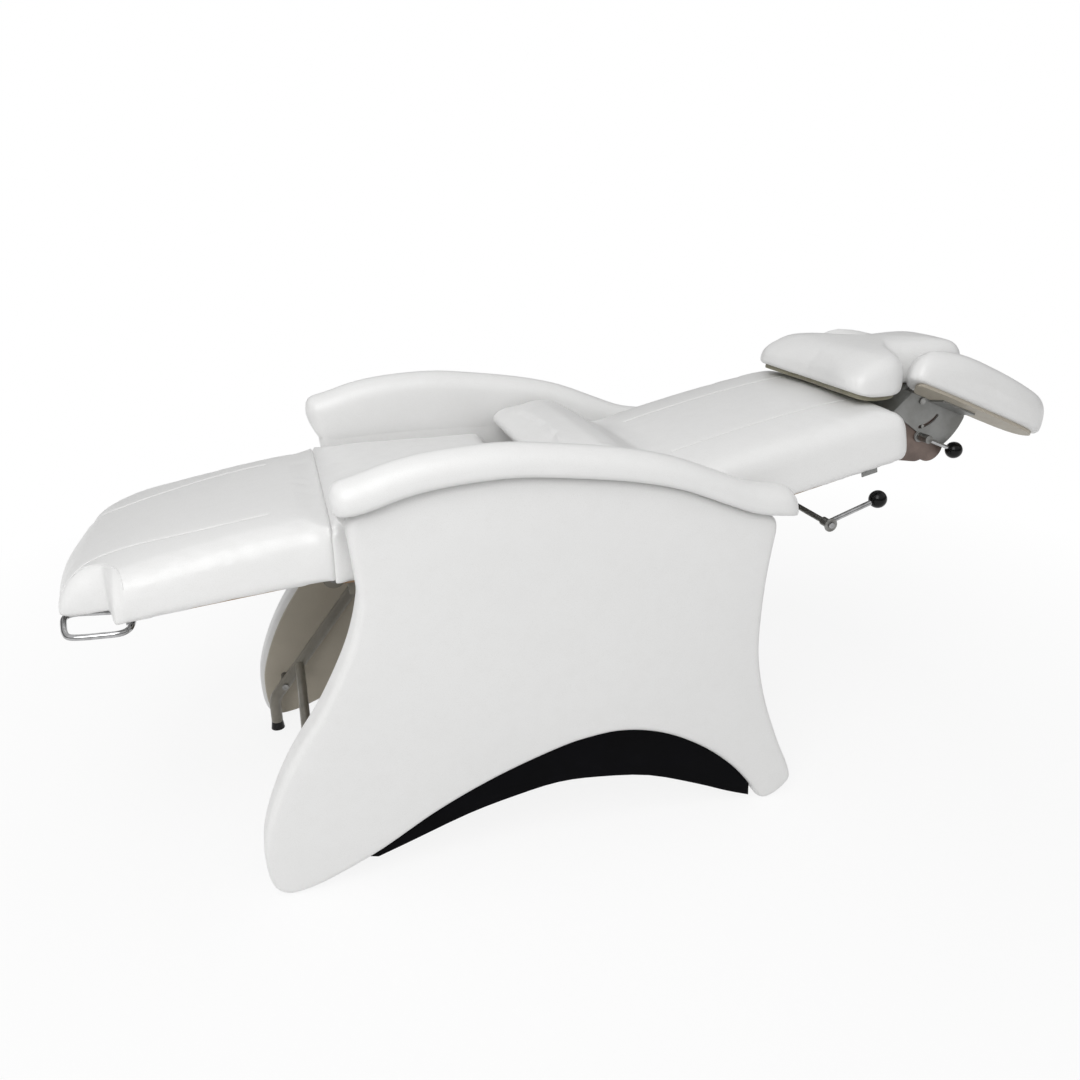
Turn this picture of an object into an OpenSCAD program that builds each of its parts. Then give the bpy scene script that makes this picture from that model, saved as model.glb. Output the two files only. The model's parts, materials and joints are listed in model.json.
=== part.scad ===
// Reclining treatment chair: a leg rest, a seat, a tilting back and a tilting head rest
// between two padded side panels with an arch below and a half-round armrest on top.
// +X points to the head end, +Z up. The origin is on the floor under the middle.

/* [Cushions] */
// Length of the leg rest from its foot end to the knee
leg_len = 439; // [380:1:520]
// Length of the seat cushion
seat_len = 370; // [320:1:420]
// Length of the back cushion from its nose to its head end
back_len = 695; // [620:1:760]
// Width of the seat, leg and back cushions
cushion_w = 509; // [440:1:560]
// Height of the seat's top above the floor
seat_h = 660; // [620:1:740]
// Thickness of the seat cushion
seat_t = 99; // [80:1:115]
// Thickness of the leg cushion at the knee
leg_t = 98; // [86:1:110]
// Thickness of the back cushion over its flat stretch
back_t = 97; // [88:1:108]
// Slope of the back in the flat position, degrees
back_slope = 12.5; // [9:0.1:14]
// Slope of the leg rest's underside, degrees
leg_slope = 5.8; // [4:0.1:8]

/* [Side panels] */
// Length of a side panel from toe to heel
panel_len = 1006; // [940:1:1100]
// Height of a side panel below the armrest's crest
panel_h = 727; // [700:1:780]
// Thickness of a side panel over its padding
panel_t = 60; // [45:1:75]
// Free width between the inner faces of the panels
inner_w = 542; // [530:1:620]
// Width of an armrest pad
arm_w = 79; // [66:1:95]
// Height of an armrest pad at its middle
arm_t = 51; // [42:1:62]

/* [Frame] */
// Outer diameter of the leg tubes
tube_d = 25; // [20:0.5:30]
// Wall of the leg tubes and rails
tube_wall = 2; // [1.2:0.1:3]
// Outer diameter of the low cross tubes
cross_d = 20; // [16:0.5:25]
// Side of the square rails
rail_a = 25; // [20:0.5:30]
// Distance of the leg tubes from the middle plane
leg_tube_y = 225; // [215:1:232]
// Thickness of the steel plates
plate_t = 4; // [3:0.5:5]
// Thickness of the plywood boards
board_t = 15; // [12:1:18]

/* [Head rest] */
// Length of the head pad
head_len = 362; // [320:1:400]
// Width over the two neck lobes
head_w = 380; // [320:1:420]
// Thickness of the head pad
head_t = 80; // [64:1:92]
// Length of a side wing
wing_len = 382; // [320:1:400]
// Thickness of a side wing
wing_t = 97; // [78:1:104]
// Distance between the outer faces of the head bracket's cheeks
cheek_w = 234; // [200:1:260]

/* [Controls] */
// Diameter of the ball knobs
knob_d = 35; // [28:1:40]
// Diameter of the recline lever's rod
lever_rod_d = 10; // [8:0.5:12]
// Distance from the lever shaft's axis to its knob's centre
lever_arm = 115; // [90:1:140]
// Diameter of the pull handle's rod
handle_d = 9; // [7:0.5:12]

/* [Hidden] */

// General clearances
cushion_gap = 5;
soft_gap = 0.3;
plate_gap = 1.5;
pin_gap = 0.05;
cut = 1;

// Stations along the chair, counted from the knee and moved so that the middle is at zero
back_gap = 12;
head_overlap = 94;
neck_run = 126;
wing_setback = 91;
wing_pitch = 21.5;
wing_tip_lean = 0.1976;
overall_len = leg_len + cushion_gap + seat_len + back_gap + back_len + neck_run - wing_setback
    + wing_len * cos(wing_pitch) + wing_t * wing_tip_lean;
x_foot = -overall_len / 2;
x_knee = x_foot + leg_len;
x_seat = x_knee + cushion_gap;
x_nose = x_seat + seat_len + back_gap;
x_back_end = x_nose + back_len;
x_head = x_back_end - head_overlap;
x_head_end = x_head + head_len;
panel_setback = 157;
x_panel = x_knee - panel_setback;
y_inner = inner_w / 2;
y_outer = y_inner + panel_t;

// Smooth curves through hand-placed points
function mix(a, b, t) = a + (b - a) * t;
function through(p0, p1, p2, p3, t) = (p1 * 2 + (p2 - p0) * t
    + (p0 * 2 - p1 * 5 + p2 * 4 - p3) * t * t + (p1 * 3 - p0 - p2 * 3 + p3) * t * t * t) / 2;
function smooth(p, n) = let (k = len(p) - 1) concat([for (i = [0 : k - 1]) for (j = [0 : n - 1])
    through(p[max(i - 1, 0)], p[i], p[i + 1], p[min(i + 2, k)], j / n)], [p[k]]);
function stretch(p, sx, sz) = [for (q = p) [q[0] * sx, q[1] * sz]];

// Closed outline helpers: normals, inset, and a rounded rectangle with drawn-in sides
function unit(v) = v / max(norm(v), 0.000001);
function normal_at(p, i) = let (n = len(p), a = unit(p[(i + 1) % n] - p[i]),
    b = unit(p[i] - p[(i + n - 1) % n]), d = unit(a + b)) [d[1], -d[0]];
function inset(p, d) = [for (i = [0 : len(p) - 1]) p[i] - normal_at(p, i) * d];
function toward(p, c, s) = [for (q = p) c + (q - c) * s];
function arc_at(c, r, a0, a1, n) = [for (i = [0 : n]) let (a = mix(a0, a1, i / n))
    [c[0] + r * cos(a), c[1] + r * sin(a)]];
function edge(a, b, n, draw) = let (d = unit(b - a)) [for (i = [1 : n - 1])
    mix(a, b, i / n) + [-d[1], d[0]] * draw * sin(180 * i / n)];
function pad_outline(x0, x1, w, r0, r1, draw, n, m) = let (h = w / 2,
    a = arc_at([x0 + r0, -h + r0], r0, 180, 270, n), b = arc_at([x1 - r1, -h + r1], r1, 270, 360, n),
    c = arc_at([x1 - r1, h - r1], r1, 0, 90, n), d = arc_at([x0 + r0, h - r0], r0, 90, 180, n))
    concat(a, edge(a[n], b[0], m, draw), b, edge(b[n], c[0], n, 0), c,
        edge(c[n], d[0], m, draw), d, edge(d[n], a[0], n, 0));

// A closed solid from rings of equal count, capped by fans at both ends
module skin(rings, lo_tip, hi_tip) {
    n = len(rings[0]);
    k = len(rings);
    points = concat([for (r = rings) each r], [lo_tip, hi_tip]);
    sides = [for (j = [0 : k - 2]) for (i = [0 : n - 1]) let (a = j * n + i,
        b = j * n + (i + 1) % n) each [[a, a + n, b], [b, a + n, b + n]]];
    caps = [for (i = [0 : n - 1]) each [[i, (i + 1) % n, k * n],
        [(k - 1) * n + (i + 1) % n, (k - 1) * n + i, k * n + 1]]];
    polyhedron(points = points, faces = concat(sides, caps), convexity = 6);
}

// Side section of a pad: share of the height, and share of the edge radius drawn in there
pad_level_share = [[0, 0.2], [0.1, 0.03], [0.3, 0], [0.56, 0.05], [0.78, 0.24], [0.92, 0.55], [1, 1]];
pad_top_share = [0.72, 0.36];

// A pad over an outline: lo and hi give its underside and top, with a crown in the middle
module pad(outline, middle, edge_r, crown, lo, hi) {
    inner = inset(outline, edge_r);
    under = inset(outline, edge_r * pad_level_share[0][1]);
    function at(p, u) = [p[0], p[1], mix(lo(p[0]), hi(p[0]), u)];
    function raised(p, s) = [p[0], p[1], hi(p[0]) + crown * (1 - s * s)];
    floor_rings = [for (i = [len(pad_top_share) - 1 : -1 : 0])
        [for (p = toward(under, middle, pad_top_share[i])) at(p, 0)]];
    side_rings = [for (l = pad_level_share) [for (p = inset(outline, edge_r * l[1])) at(p, l[0])]];
    top_rings = [for (s = pad_top_share) [for (p = toward(inner, middle, s)) raised(p, s)]];
    skin(concat(floor_rings, side_rings, top_rings), at(middle, 0), raised(middle, 0));
}

// A flat slab with rounded edges, standing in the X-Z plane between y0 and y1
slab_level_share = [[0, 1], [0.15, 0.5], [0.5, 0.13], [1, 0]];
module slab(outline, middle, y0, y1, r) {
    k = len(slab_level_share) - 1;
    rings = concat([for (l = slab_level_share) [for (p = inset(outline, r * l[1]))
        [p[0], y0 + r * l[0], p[1]]]], [for (i = [k : -1 : 0]) let (l = slab_level_share[i])
        [for (p = inset(outline, r * l[1])) [p[0], y1 - r * l[0], p[1]]]]);
    n = len(outline);
    m = len(rings);
    sides = [for (j = [0 : m - 2]) for (i = [0 : n - 1]) let (a = j * n + i,
        b = j * n + (i + 1) % n) each [[a, b, a + n], [b, b + n, a + n]]];
    caps = [for (i = [0 : n - 1]) each [[(i + 1) % n, i, m * n],
        [(m - 1) * n + i, (m - 1) * n + (i + 1) % n, m * n + 1]]];
    polyhedron(points = concat([for (g = rings) each g], [[middle[0], y0, middle[1]],
        [middle[0], y1, middle[1]]]), faces = concat(sides, caps), convexity = 10);
}

// A plate between y0 and y1 with an outline in the X-Z plane
module plate(y0, y1) {
    translate([0, y1, 0]) rotate([90, 0, 0]) linear_extrude(height = y1 - y0) children();
}

// A bar or a hole along Y
module along_y(x, z, d, y0, y1) {
    translate([x, y1, z]) rotate([90, 0, 0]) cylinder(h = y1 - y0, d = d, $fn = 48);
}

// Both sides of the chair
module both() {
    children();
    mirror([0, 1, 0]) children();
}

// Side panel and armrest outlines, as shares of the panel's length and height.
// The underside of the armrest is also the panel's top edge.
panel_front_share = [[0.177, 0.936], [0.180, 0.883], [0.187, 0.79], [0.187, 0.735],
    [0.165, 0.627], [0.118, 0.494], [0.063, 0.377], [0.028, 0.28], [0.004, 0.18], [0, 0.11],
    [0.006, 0.04], [0.025, 0.01], [0.055, 0.01]];
panel_arch_share = [[0.101, 0.028], [0.188, 0.082], [0.295, 0.168], [0.405, 0.236],
    [0.517, 0.286], [0.574, 0.301], [0.631, 0.305], [0.691, 0.29], [0.752, 0.256],
    [0.817, 0.2], [0.873, 0.133], [0.915, 0.065]];
panel_rear_share = [[0.94, 0.012], [0.965, 0.01], [0.995, 0.04], [1, 0.075], [0.962, 0.195],
    [0.927, 0.325], [0.906, 0.45], [0.902, 0.56], [0.906, 0.69], [0.919, 0.836]];
arm_base_share = [[0.158, 0.944], [0.21, 0.953], [0.25, 0.973], [0.3, 0.988], [0.36, 0.997],
    [0.44, 1], [0.52, 0.989], [0.63, 0.967], [0.72, 0.937], [0.8, 0.893], [0.87, 0.855],
    [0.935, 0.842], [0.958, 0.835]];
plinth_arc_share = [[0.185, 0.052], [0.24, 0.077], [0.35, 0.128], [0.44, 0.156], [0.52, 0.172],
    [0.6, 0.165], [0.7, 0.14], [0.8, 0.085], [0.87, 0.04], [0.92, 0.012]];
arm_base = smooth(stretch(arm_base_share, panel_len, panel_h), 3);
function arm_base_z(x) = lookup(x, arm_base);
panel_top_gap = 6.9;
panel_top_share = [0.9, 0.83, 0.75, 0.67, 0.58, 0.5, 0.42, 0.34, 0.27, 0.22];
panel_outline = concat(smooth(stretch(concat(panel_front_share, panel_arch_share,
    panel_rear_share), panel_len, panel_h), 2),
    [for (s = panel_top_share) [s * panel_len, arm_base_z(s * panel_len) - panel_top_gap]]);

panel_edge_r = 14;
panel_swell = 3.5;
panel_middle = [0.585 * panel_len, 0.908 * panel_h];
panel_grown = inset(panel_outline, -panel_swell);
core_t = 18;
core_setback = 15;
core_tongue = 40;
core_gap = 0.3;
arch = smooth(stretch(panel_arch_share, panel_len, panel_h), 3);
plinth_arc = smooth(stretch(plinth_arc_share, panel_len, panel_h), 3);
y_core = y_outer - core_setback - core_t;
function raised_line(line, dz) = [for (i = [len(line) - 1 : -1 : 0]) [line[i][0], line[i][1] + dz]];

module plinth_shape(grow) {
    for (d = [0, grow]) translate([x_panel - d, -d])
        polygon(concat(plinth_arc, raised_line(arch, core_tongue + grow)));
}

module panel_left() {
    mirror([0, 1, 0]) difference() {
        translate([x_panel, 0, 0]) slab(panel_grown, panel_middle, y_inner, y_outer, panel_edge_r);
        plate(y_core - core_gap, y_core + core_t + core_gap) plinth_shape(core_gap);
    }
}

module plinth_left() {
    plate(-y_core - core_t, -y_core) plinth_shape(0);
}

module side_panel_left() {
    color("white") panel_left();
}

module side_panel_right() {
    color("white") mirror([0, 1, 0]) panel_left();
}

module plinth_board_left() {
    color([0.07, 0.07, 0.08]) plinth_left();
}

module plinth_board_right() {
    color([0.07, 0.07, 0.08]) mirror([0, 1, 0]) plinth_left();
}

// Armrest: a half-round section, flat below, that shrinks to a rounded nose at both ends
arm_nose = 26;
arm_section_n = 14;
arm_share = [0, 0.012, 0.035, 0.09, 0.16, 0.24, 0.33, 0.42, 0.51, 0.6, 0.7, 0.8, 0.88, 0.945, 0.98, 1];
arm_lean = 17;
arm_x0 = arm_base[0][0];
arm_x1 = arm_base[len(arm_base) - 1][0];
function nose_size(d) = d >= arm_nose ? 1 : sqrt(1 - pow(1 - d / arm_nose, 2));
module armrest_solid() {
    rings = [for (s = arm_share) let (x = mix(arm_x0, arm_x1, s),
        g = max(nose_size(min(x - arm_x0, arm_x1 - x)), 0.25), z = arm_base_z(x))
        [for (i = [0 : arm_section_n]) let (a = 180 * i / arm_section_n,
            h = arm_t * g * pow(sin(a), 0.72))
            [x_panel + x - arm_lean * h / arm_t * (1 - s) , y_inner + soft_gap + arm_w / 2
                - arm_w / 2 * g * cos(a), z + h]]];
    first = rings[0];
    last = rings[len(rings) - 1];
    mid = arm_section_n / 2;
    skin(rings, (first[0] + first[mid] + first[arm_section_n]) / 3,
        (last[0] + last[mid] + last[arm_section_n]) / 3);
}

module armrest_left() {
    color("white") mirror([0, 1, 0]) armrest_solid();
}

module armrest_right() {
    color("white") armrest_solid();
}

// Lining: a thin grey-brown padded board on the panel's inner face below the seat
lining_t = 6;
lining_inset = 13;
lining_top = 500;
module lining_left() {
    plate(-y_inner, -y_inner + lining_t) intersection() {
        translate([x_panel, 0]) polygon(inset(panel_outline, lining_inset));
        translate([x_panel, 0]) square([panel_len, lining_top]);
    }
}

module inner_lining_left() {
    color([0.5, 0.47, 0.42]) lining_left();
}

module inner_lining_right() {
    color([0.5, 0.47, 0.42]) mirror([0, 1, 0]) lining_left();
}

// Seat: board on the rails, cushion on the board
seat_board_t = 18;
z_rail_top = seat_h - seat_t - seat_board_t;
z_rail = z_rail_top - rail_a / 2;
seat_edge_r = 26;
seat_crown = 9;
seat_r = 22;
seat_draw = 4;
board_inset = 8;
module seat_cushion() {
    color("white") pad(pad_outline(x_seat, x_seat + seat_len, cushion_w, seat_r, seat_r,
        seat_draw, 4, 8), [x_seat + seat_len / 2, 0], seat_edge_r, seat_crown,
        function (x) seat_h - seat_t, function (x) seat_h - seat_crown);
}

module seat_board() {
    color("burlywood") translate([x_seat + board_inset, -cushion_w / 2 + board_inset, z_rail_top])
        cube([seat_len - 2 * board_inset, cushion_w - 2 * board_inset, seat_board_t]);
}

// Tubes: front legs run from a short upright foot up to the rails, rear legs likewise
glide_h = 18;
glide_d = 30;
foot_top = 75;
front_foot_setback = 24;
rear_foot_setback = 47;
rail_front_run = 23;
rail_rear_run = 572;
rail_front_x = x_knee + rail_front_run;
rail_rear_x = x_knee + rail_rear_run;
front_knee_run = 345;
rear_knee_run = 240;
x_front_foot = x_panel + front_foot_setback;
x_rear_foot = x_panel + panel_len - rear_foot_setback;
z_rail_bottom = z_rail_top - rail_a;
bend_r = 45;
weld = 0.6;

function turn_angle(run, rise) = atan2(run, rise);
module leg_tube(x, run) {
    rise = z_rail_bottom - foot_top;
    a = turn_angle(abs(run), rise);
    t = bend_r * tan(a / 2);
    translate([x, leg_tube_y, 0]) rotate([0, 0, run > 0 ? 0 : 180]) {
        translate([0, 0, glide_h]) cylinder(h = foot_top - glide_h - t + weld, d = tube_d, $fn = 48);
        translate([bend_r, 0, foot_top - t]) rotate([90, 0, 0]) rotate([0, 0, 180 - a])
            rotate_extrude(angle = a, $fn = 96) translate([bend_r, 0]) circle(d = tube_d + weld, $fn = 48);
        difference() {
            translate([0, 0, foot_top]) rotate([0, a, 0]) translate([0, 0, t - weld])
                cylinder(h = rise / cos(a) + tube_d, d = tube_d, $fn = 48);
            translate([0, -tube_d, z_rail_bottom]) cube([abs(run) + 2 * tube_d, 2 * tube_d, 2 * tube_d]);
        }
    }
}

module front_legs() {
    color([0.62, 0.6, 0.55]) both() leg_tube(x_front_foot, front_knee_run);
}

module rear_legs() {
    color([0.62, 0.6, 0.55]) both() leg_tube(x_rear_foot, -rear_knee_run);
}

module floor_glides() {
    color([0.06, 0.06, 0.06]) for (x = [x_front_foot, x_rear_foot]) both()
        translate([x, leg_tube_y, 0]) cylinder(h = glide_h, d1 = glide_d, d2 = tube_d, $fn = 48);
}

// Low cross tubes meet the inclined legs a set height above the floor
cross_h = 155;
function leg_x(x, run, z) = x + run * (z - foot_top) / (z_rail_bottom - foot_top);
module cross_tube(x) {
    difference() {
        along_y(x, cross_h, cross_d, -leg_tube_y, leg_tube_y);
        both() translate([x, leg_tube_y, cross_h]) rotate([0, x < 0 ? turn_angle(front_knee_run,
            z_rail_bottom - foot_top) : -turn_angle(rear_knee_run, z_rail_bottom - foot_top), 0])
            cylinder(h = 4 * tube_d, d = tube_d, center = true, $fn = 48);
    }
}

module front_cross_tube() {
    color([0.62, 0.6, 0.55]) cross_tube(leg_x(x_front_foot, front_knee_run, cross_h));
}

module rear_cross_tube() {
    color([0.62, 0.6, 0.55]) cross_tube(leg_x(x_rear_foot, -rear_knee_run, cross_h));
}

module rail(x0, x1, y0, y1, z0, z1, wall_axis) {
    difference() {
        translate([x0, y0, z0]) cube([x1 - x0, y1 - y0, z1 - z0]);
        if (wall_axis == "x") translate([x0 - cut, y0 + tube_wall, z0 + tube_wall])
            cube([x1 - x0 + 2 * cut, y1 - y0 - 2 * tube_wall, z1 - z0 - 2 * tube_wall]);
        else translate([x0 + tube_wall, y0 - cut, z0 + tube_wall])
            cube([x1 - x0 - 2 * tube_wall, y1 - y0 + 2 * cut, z1 - z0 - 2 * tube_wall]);
    }
}

y_rail_in = leg_tube_y - rail_a / 2;
y_rail_out = leg_tube_y + rail_a / 2;
module seat_side_rails() {
    color([0.62, 0.6, 0.55]) both() rail(rail_front_x, rail_rear_x, y_rail_in, y_rail_out,
        z_rail_bottom, z_rail_top, "x");
}

gas_rail_run = 462;
gas_rail_x = x_knee + gas_rail_run;
cross_rail_x = [rail_front_x, x_seat + seat_len - rail_a, gas_rail_x];
module seat_cross_rails() {
    color([0.62, 0.6, 0.55]) for (x = cross_rail_x)
        rail(x, x + rail_a, -y_rail_in, y_rail_in, z_rail_bottom, z_rail_top, "y");
}

// Bolts with spacers that hold each panel to the side rails and to the leg tubes
bolt_d = 8;
bolt_head_d = 14;
bolt_head_h = 5;
bolt_bite = 22;
spacer_d = 16;
low_bolt_h = 109;
rail_bolt_run = 120;
rear_bolt_run = 29;
module panel_bolt(x, z, y_tube) {
    along_y(x, z, spacer_d, y_tube, z > lining_top ? y_inner : y_inner - lining_t);
    along_y(x, z, bolt_head_d, y_tube - tube_d - bolt_head_h, y_tube - tube_d);
}

function panel_bolt_places() = [[leg_x(x_front_foot, front_knee_run, low_bolt_h), low_bolt_h],
    [leg_x(x_rear_foot, -rear_knee_run, low_bolt_h), low_bolt_h],
    [rail_front_x + rail_bolt_run, z_rail], [rail_rear_x - rear_bolt_run, z_rail]];
module panel_bolts() {
    color([0.12, 0.12, 0.12]) both() for (p = panel_bolt_places())
        panel_bolt(p[0], p[1], leg_tube_y + tube_d / 2);
}

// Screw heads under the boards
screw_d = 10;
screw_h = 3;
module screw_head(x, y, z) {
    translate([x, y, z - screw_h]) cylinder(h = screw_h, d = screw_d, $fn = 32);
}

module seat_screws() {
    color("silver") both() for (x = [rail_front_x + rail_a / 2, x_seat + seat_len - rail_a / 2])
        screw_head(x, y_rail_in - rail_a, z_rail_bottom);
}

// Back hinge: plates on the side rails carry the arms of the back frame
hip_setback = 105;
hip_rise = 30;
x_hip = x_nose + hip_setback;
z_hip = seat_h + hip_rise;
hip_pin_d = 12;
hip_eye_d = 34;
arm_clear = 4.5;
y_arm = cushion_w / 2 + arm_clear;
y_hip_plate = y_arm + plate_t + plate_gap;
hip_foot_run = 46;
module eye_plate(y0, x0, z0, d0, x1, z1, d1, x2, z2, d2) {
    plate(y0, y0 + plate_t) hull() {
        translate([x0, z0]) circle(d = d0, $fn = 32);
        translate([x1, z1]) circle(d = d1, $fn = 32);
        translate([x2, z2]) circle(d = d2, $fn = 32);
    }
}

module back_pivot_plates() {
    color([0.55, 0.54, 0.5]) both() {
        difference() {
            eye_plate(y_hip_plate, x_hip, z_hip, hip_eye_d, x_hip - hip_foot_run / 2, z_rail, rail_a,
                x_hip + hip_foot_run / 2, z_rail, rail_a);
            along_y(x_hip, z_hip, hip_pin_d + 2 * pin_gap, y_hip_plate - cut, y_hip_plate + plate_t + cut);
        }
        for (s = [-0.5, 0.5]) along_y(x_hip + s * hip_foot_run, z_rail, spacer_d, y_rail_out, y_hip_plate);
    }
}

// Back cushion: a thick nose, a hollow and a flat sloping stretch
back_top_share = [[0, 1.74], [0.037, 1.94], [0.09, 1.91], [0.15, 1.8], [0.2, 1.63], [0.25, 1.36],
    [0.3, 1.07], [0.34, 1.0], [0.4, 1.01], [0.5, 1.03], [0.7, 1.04], [0.86, 1.015], [0.95, 0.965], [1, 0.88]];
back_under_share = [[0, 1.66], [0.074, 1.1], [0.156, 0.55], [0.216, 0.22], [0.275, 0], [0.4, 0], [1, 0]];
back_base_drop = 146;
z_back0 = seat_h - back_base_drop;
function back_line(x) = z_back0 + (x - x_nose) * tan(back_slope);
back_top = smooth(stretch(back_top_share, back_len, back_t), 3);
back_under = stretch(back_under_share, back_len, back_t);
function back_hi(x) = back_line(x) + lookup(x - x_nose, back_top);
function back_lo(x) = back_line(x) + lookup(x - x_nose, back_under);
back_edge_r = 24;
back_crown = 10;
back_nose_r = 26;
back_end_r = 34;
back_end_run = 12;
module back_cushion() {
    color("white") difference() {
        pad(pad_outline(x_nose, x_back_end + back_end_run, cushion_w, back_nose_r, back_end_r, seat_draw,
            4, 14),
            [x_nose + back_len * 0.5, 0], back_edge_r, back_crown, function (x) back_lo(x),
            function (x) back_hi(x));
        back_board_solid(soft_gap);
    }
}

// A flat piece laid in the back's own slope: u runs along it from the board's lower end
back_board_start = 0.3;
back_board_margin = 45;
back_board_x = x_nose + back_board_start * back_len;
module on_back(u, y, w) {
    translate([back_board_x, 0, back_line(back_board_x)]) rotate([0, -back_slope, 0])
        translate([u, y, w]) children();
}

back_board_len = (back_len * (1 - back_board_start) - back_board_margin) / cos(back_slope);
back_board_w = cushion_w - 2 * board_inset;
module back_board_solid(grow) {
    on_back(-grow, -back_board_w / 2 - grow, -grow)
        cube([back_board_len + 2 * grow, back_board_w + 2 * grow, board_t + 2 * grow]);
}

module back_board() {
    color("burlywood") back_board_solid(0);
}

gas_eye_run = 320;
gas_eye_drop = 145;
gas_eye_x = x_hip + gas_eye_run;
gas_eye_z = z_hip - gas_eye_drop;
gas_eye_t = 31;
gas_cross_u = (gas_eye_x - x_nose - back_board_start * back_len) / cos(back_slope) - rail_a / 2;
y_back_rail = cheek_w / 2 - 2 * plate_t - plate_gap - rail_a;
back_rail_start = -14;
module back_rails() {
    color([0.62, 0.6, 0.55]) both() on_back(0, 0, -rail_a)
        rail(back_rail_start + rail_a, back_board_len, y_back_rail, y_back_rail + rail_a, 0, rail_a, "x");
}

module back_cross_tubes() {
    color([0.62, 0.6, 0.55]) {
        both() on_back(0, 0, -rail_a)
            rail(back_rail_start, back_rail_start + rail_a, y_back_rail, y_arm, 0, rail_a, "y");
        for (u = [gas_cross_u, back_board_len - rail_a]) on_back(0, 0, -rail_a)
            rail(u, u + rail_a, -y_back_rail, y_back_rail, 0, rail_a, "y");
    }
}

module back_pivot_arms() {
    color([0.55, 0.54, 0.5]) both() difference() {
        hull() {
            along_y(x_hip, z_hip, hip_eye_d, y_arm, y_arm + plate_t);
            on_back(back_rail_start, y_arm, -rail_a) cube([rail_a, plate_t, rail_a]);
        }
        along_y(x_hip, z_hip, hip_pin_d + 2 * pin_gap, y_arm - cut, y_arm + plate_t + cut);
    }
}

hip_head_d = 20;
hip_head_h = 2;
module back_pivot_bolts() {
    color("silver") both() {
        along_y(x_hip, z_hip, hip_pin_d, y_arm, y_hip_plate + plate_t);
        along_y(x_hip, z_hip, hip_head_d, y_arm - hip_head_h, y_arm);
    }
}

module back_screws() {
    color("silver") both() for (s = [0.2, 0.5, 0.8]) on_back(s * back_board_len,
        y_back_rail + rail_a / 2, -rail_a) screw_head(0, 0, 0);
}

// Leg rest
leg_drop = 107;
z_leg_knee = seat_h - leg_drop;
function leg_lo(x) = z_leg_knee - (x_knee - x) * tan(leg_slope);
leg_t_share = [[0, 0.45], [0.09, 0.575], [0.25, 0.7], [0.38, 0.765], [0.55, 0.84], [0.71, 0.91],
    [0.85, 0.955], [1, 0.98]];
leg_thick = smooth(stretch(leg_t_share, leg_len, leg_t), 3);
function leg_hi(x) = leg_lo(x) + lookup(x - x_foot, leg_thick);
leg_edge_r = 30;
leg_crown = 9;
leg_foot_r = 92;
leg_knee_r = 22;
leg_board_foot = 140;
scoop_x = 60;
scoop_y = 12;
scoop_z = 10;
scoop_r = 62;
scoop_share = [1.05, 1, 0.76];
module scoop() {
    translate([x_foot + scoop_x, -cushion_w / 2 + scoop_y, leg_lo(x_foot + scoop_x) + scoop_z])
        scale(scoop_share) sphere(r = scoop_r, $fn = 32);
}

module leg_cushion() {
    color("white") difference() {
        pad(pad_outline(x_foot, x_knee, cushion_w, leg_foot_r, leg_knee_r, seat_draw, 5, 8),
            [x_foot + leg_len * 0.5, 0], leg_edge_r, leg_crown, function (x) leg_lo(x),
            function (x) leg_hi(x));
        leg_board_solid(soft_gap);
        scoop();
    }
}

// A flat piece laid under the leg rest: u runs from the knee toward the foot end
module under_leg(u, y, w) {
    translate([x_knee, 0, z_leg_knee]) rotate([0, -leg_slope, 0]) translate([-u, y, w]) children();
}

leg_board_len = leg_len - leg_board_foot;
module leg_board_solid(grow) {
    under_leg(leg_board_len + board_inset + grow, -back_board_w / 2 - grow, -grow)
        cube([leg_board_len + 2 * grow, back_board_w + 2 * grow, board_t + 2 * grow]);
}

module leg_board() {
    color("burlywood") leg_board_solid(0);
}

// Knee hinge: toothed click joints, shown as paired discs
knee_pin_d = 10;
knee_disc_d = 40;
knee_drop = 14;
x_knee_pin = x_knee + cushion_gap / 2;
z_knee_pin = z_rail - knee_drop / 2;
knee_arm_y = 160;
knee_arm_t = 6;
knee_arm_len = 300;
knee_arm_h = 22;
module leg_arms() {
    color([0.55, 0.54, 0.5]) both() difference() {
        plate(knee_arm_y, knee_arm_y + knee_arm_t) union() {
            translate([x_knee_pin, z_knee_pin]) circle(d = knee_disc_d, $fn = 64);
            translate([x_knee, z_leg_knee]) rotate(leg_slope) polygon([[-knee_arm_len, 0],
                [-board_inset, 0], [-board_inset / 2, -knee_disc_d * 0.75], [-knee_disc_d, -knee_arm_h * 1.4],
                [-knee_arm_len, -knee_arm_h / 2]]);
        }
        along_y(x_knee_pin, z_knee_pin, knee_pin_d + 2 * pin_gap, knee_arm_y - cut,
            knee_arm_y + knee_arm_t + cut);
    }
}

module knee_lugs() {
    y0 = knee_arm_y + knee_arm_t + plate_gap / 3;
    color([0.55, 0.54, 0.5]) both() difference() {
        hull() {
            along_y(x_knee_pin, z_knee_pin, knee_disc_d, y0, y0 + knee_arm_t);
            translate([rail_front_x - knee_arm_t, y0, z_rail_bottom]) cube([knee_arm_t, knee_arm_t, rail_a]);
        }
        along_y(x_knee_pin, z_knee_pin, knee_pin_d + 2 * pin_gap, y0 - cut, y0 + knee_arm_t + cut);
    }
}

module knee_pins() {
    y0 = knee_arm_y + knee_arm_t + plate_gap / 3;
    color("silver") both() {
        along_y(x_knee_pin, z_knee_pin, knee_pin_d, knee_arm_y - plate_t, y0 + knee_arm_t);
        along_y(x_knee_pin, z_knee_pin, knee_pin_d * 1.7, knee_arm_y - plate_t - hip_head_h,
            knee_arm_y - plate_t);
        along_y(x_knee_pin, z_knee_pin, knee_pin_d * 1.7, y0 + knee_arm_t, y0 + knee_arm_t + plate_t);
    }
}

module leg_screws() {
    color("silver") both() for (s = [0.35, 0.75]) under_leg(s * leg_board_len,
        knee_arm_y - knee_arm_h, 0) screw_head(0, 0, 0);
}

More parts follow.
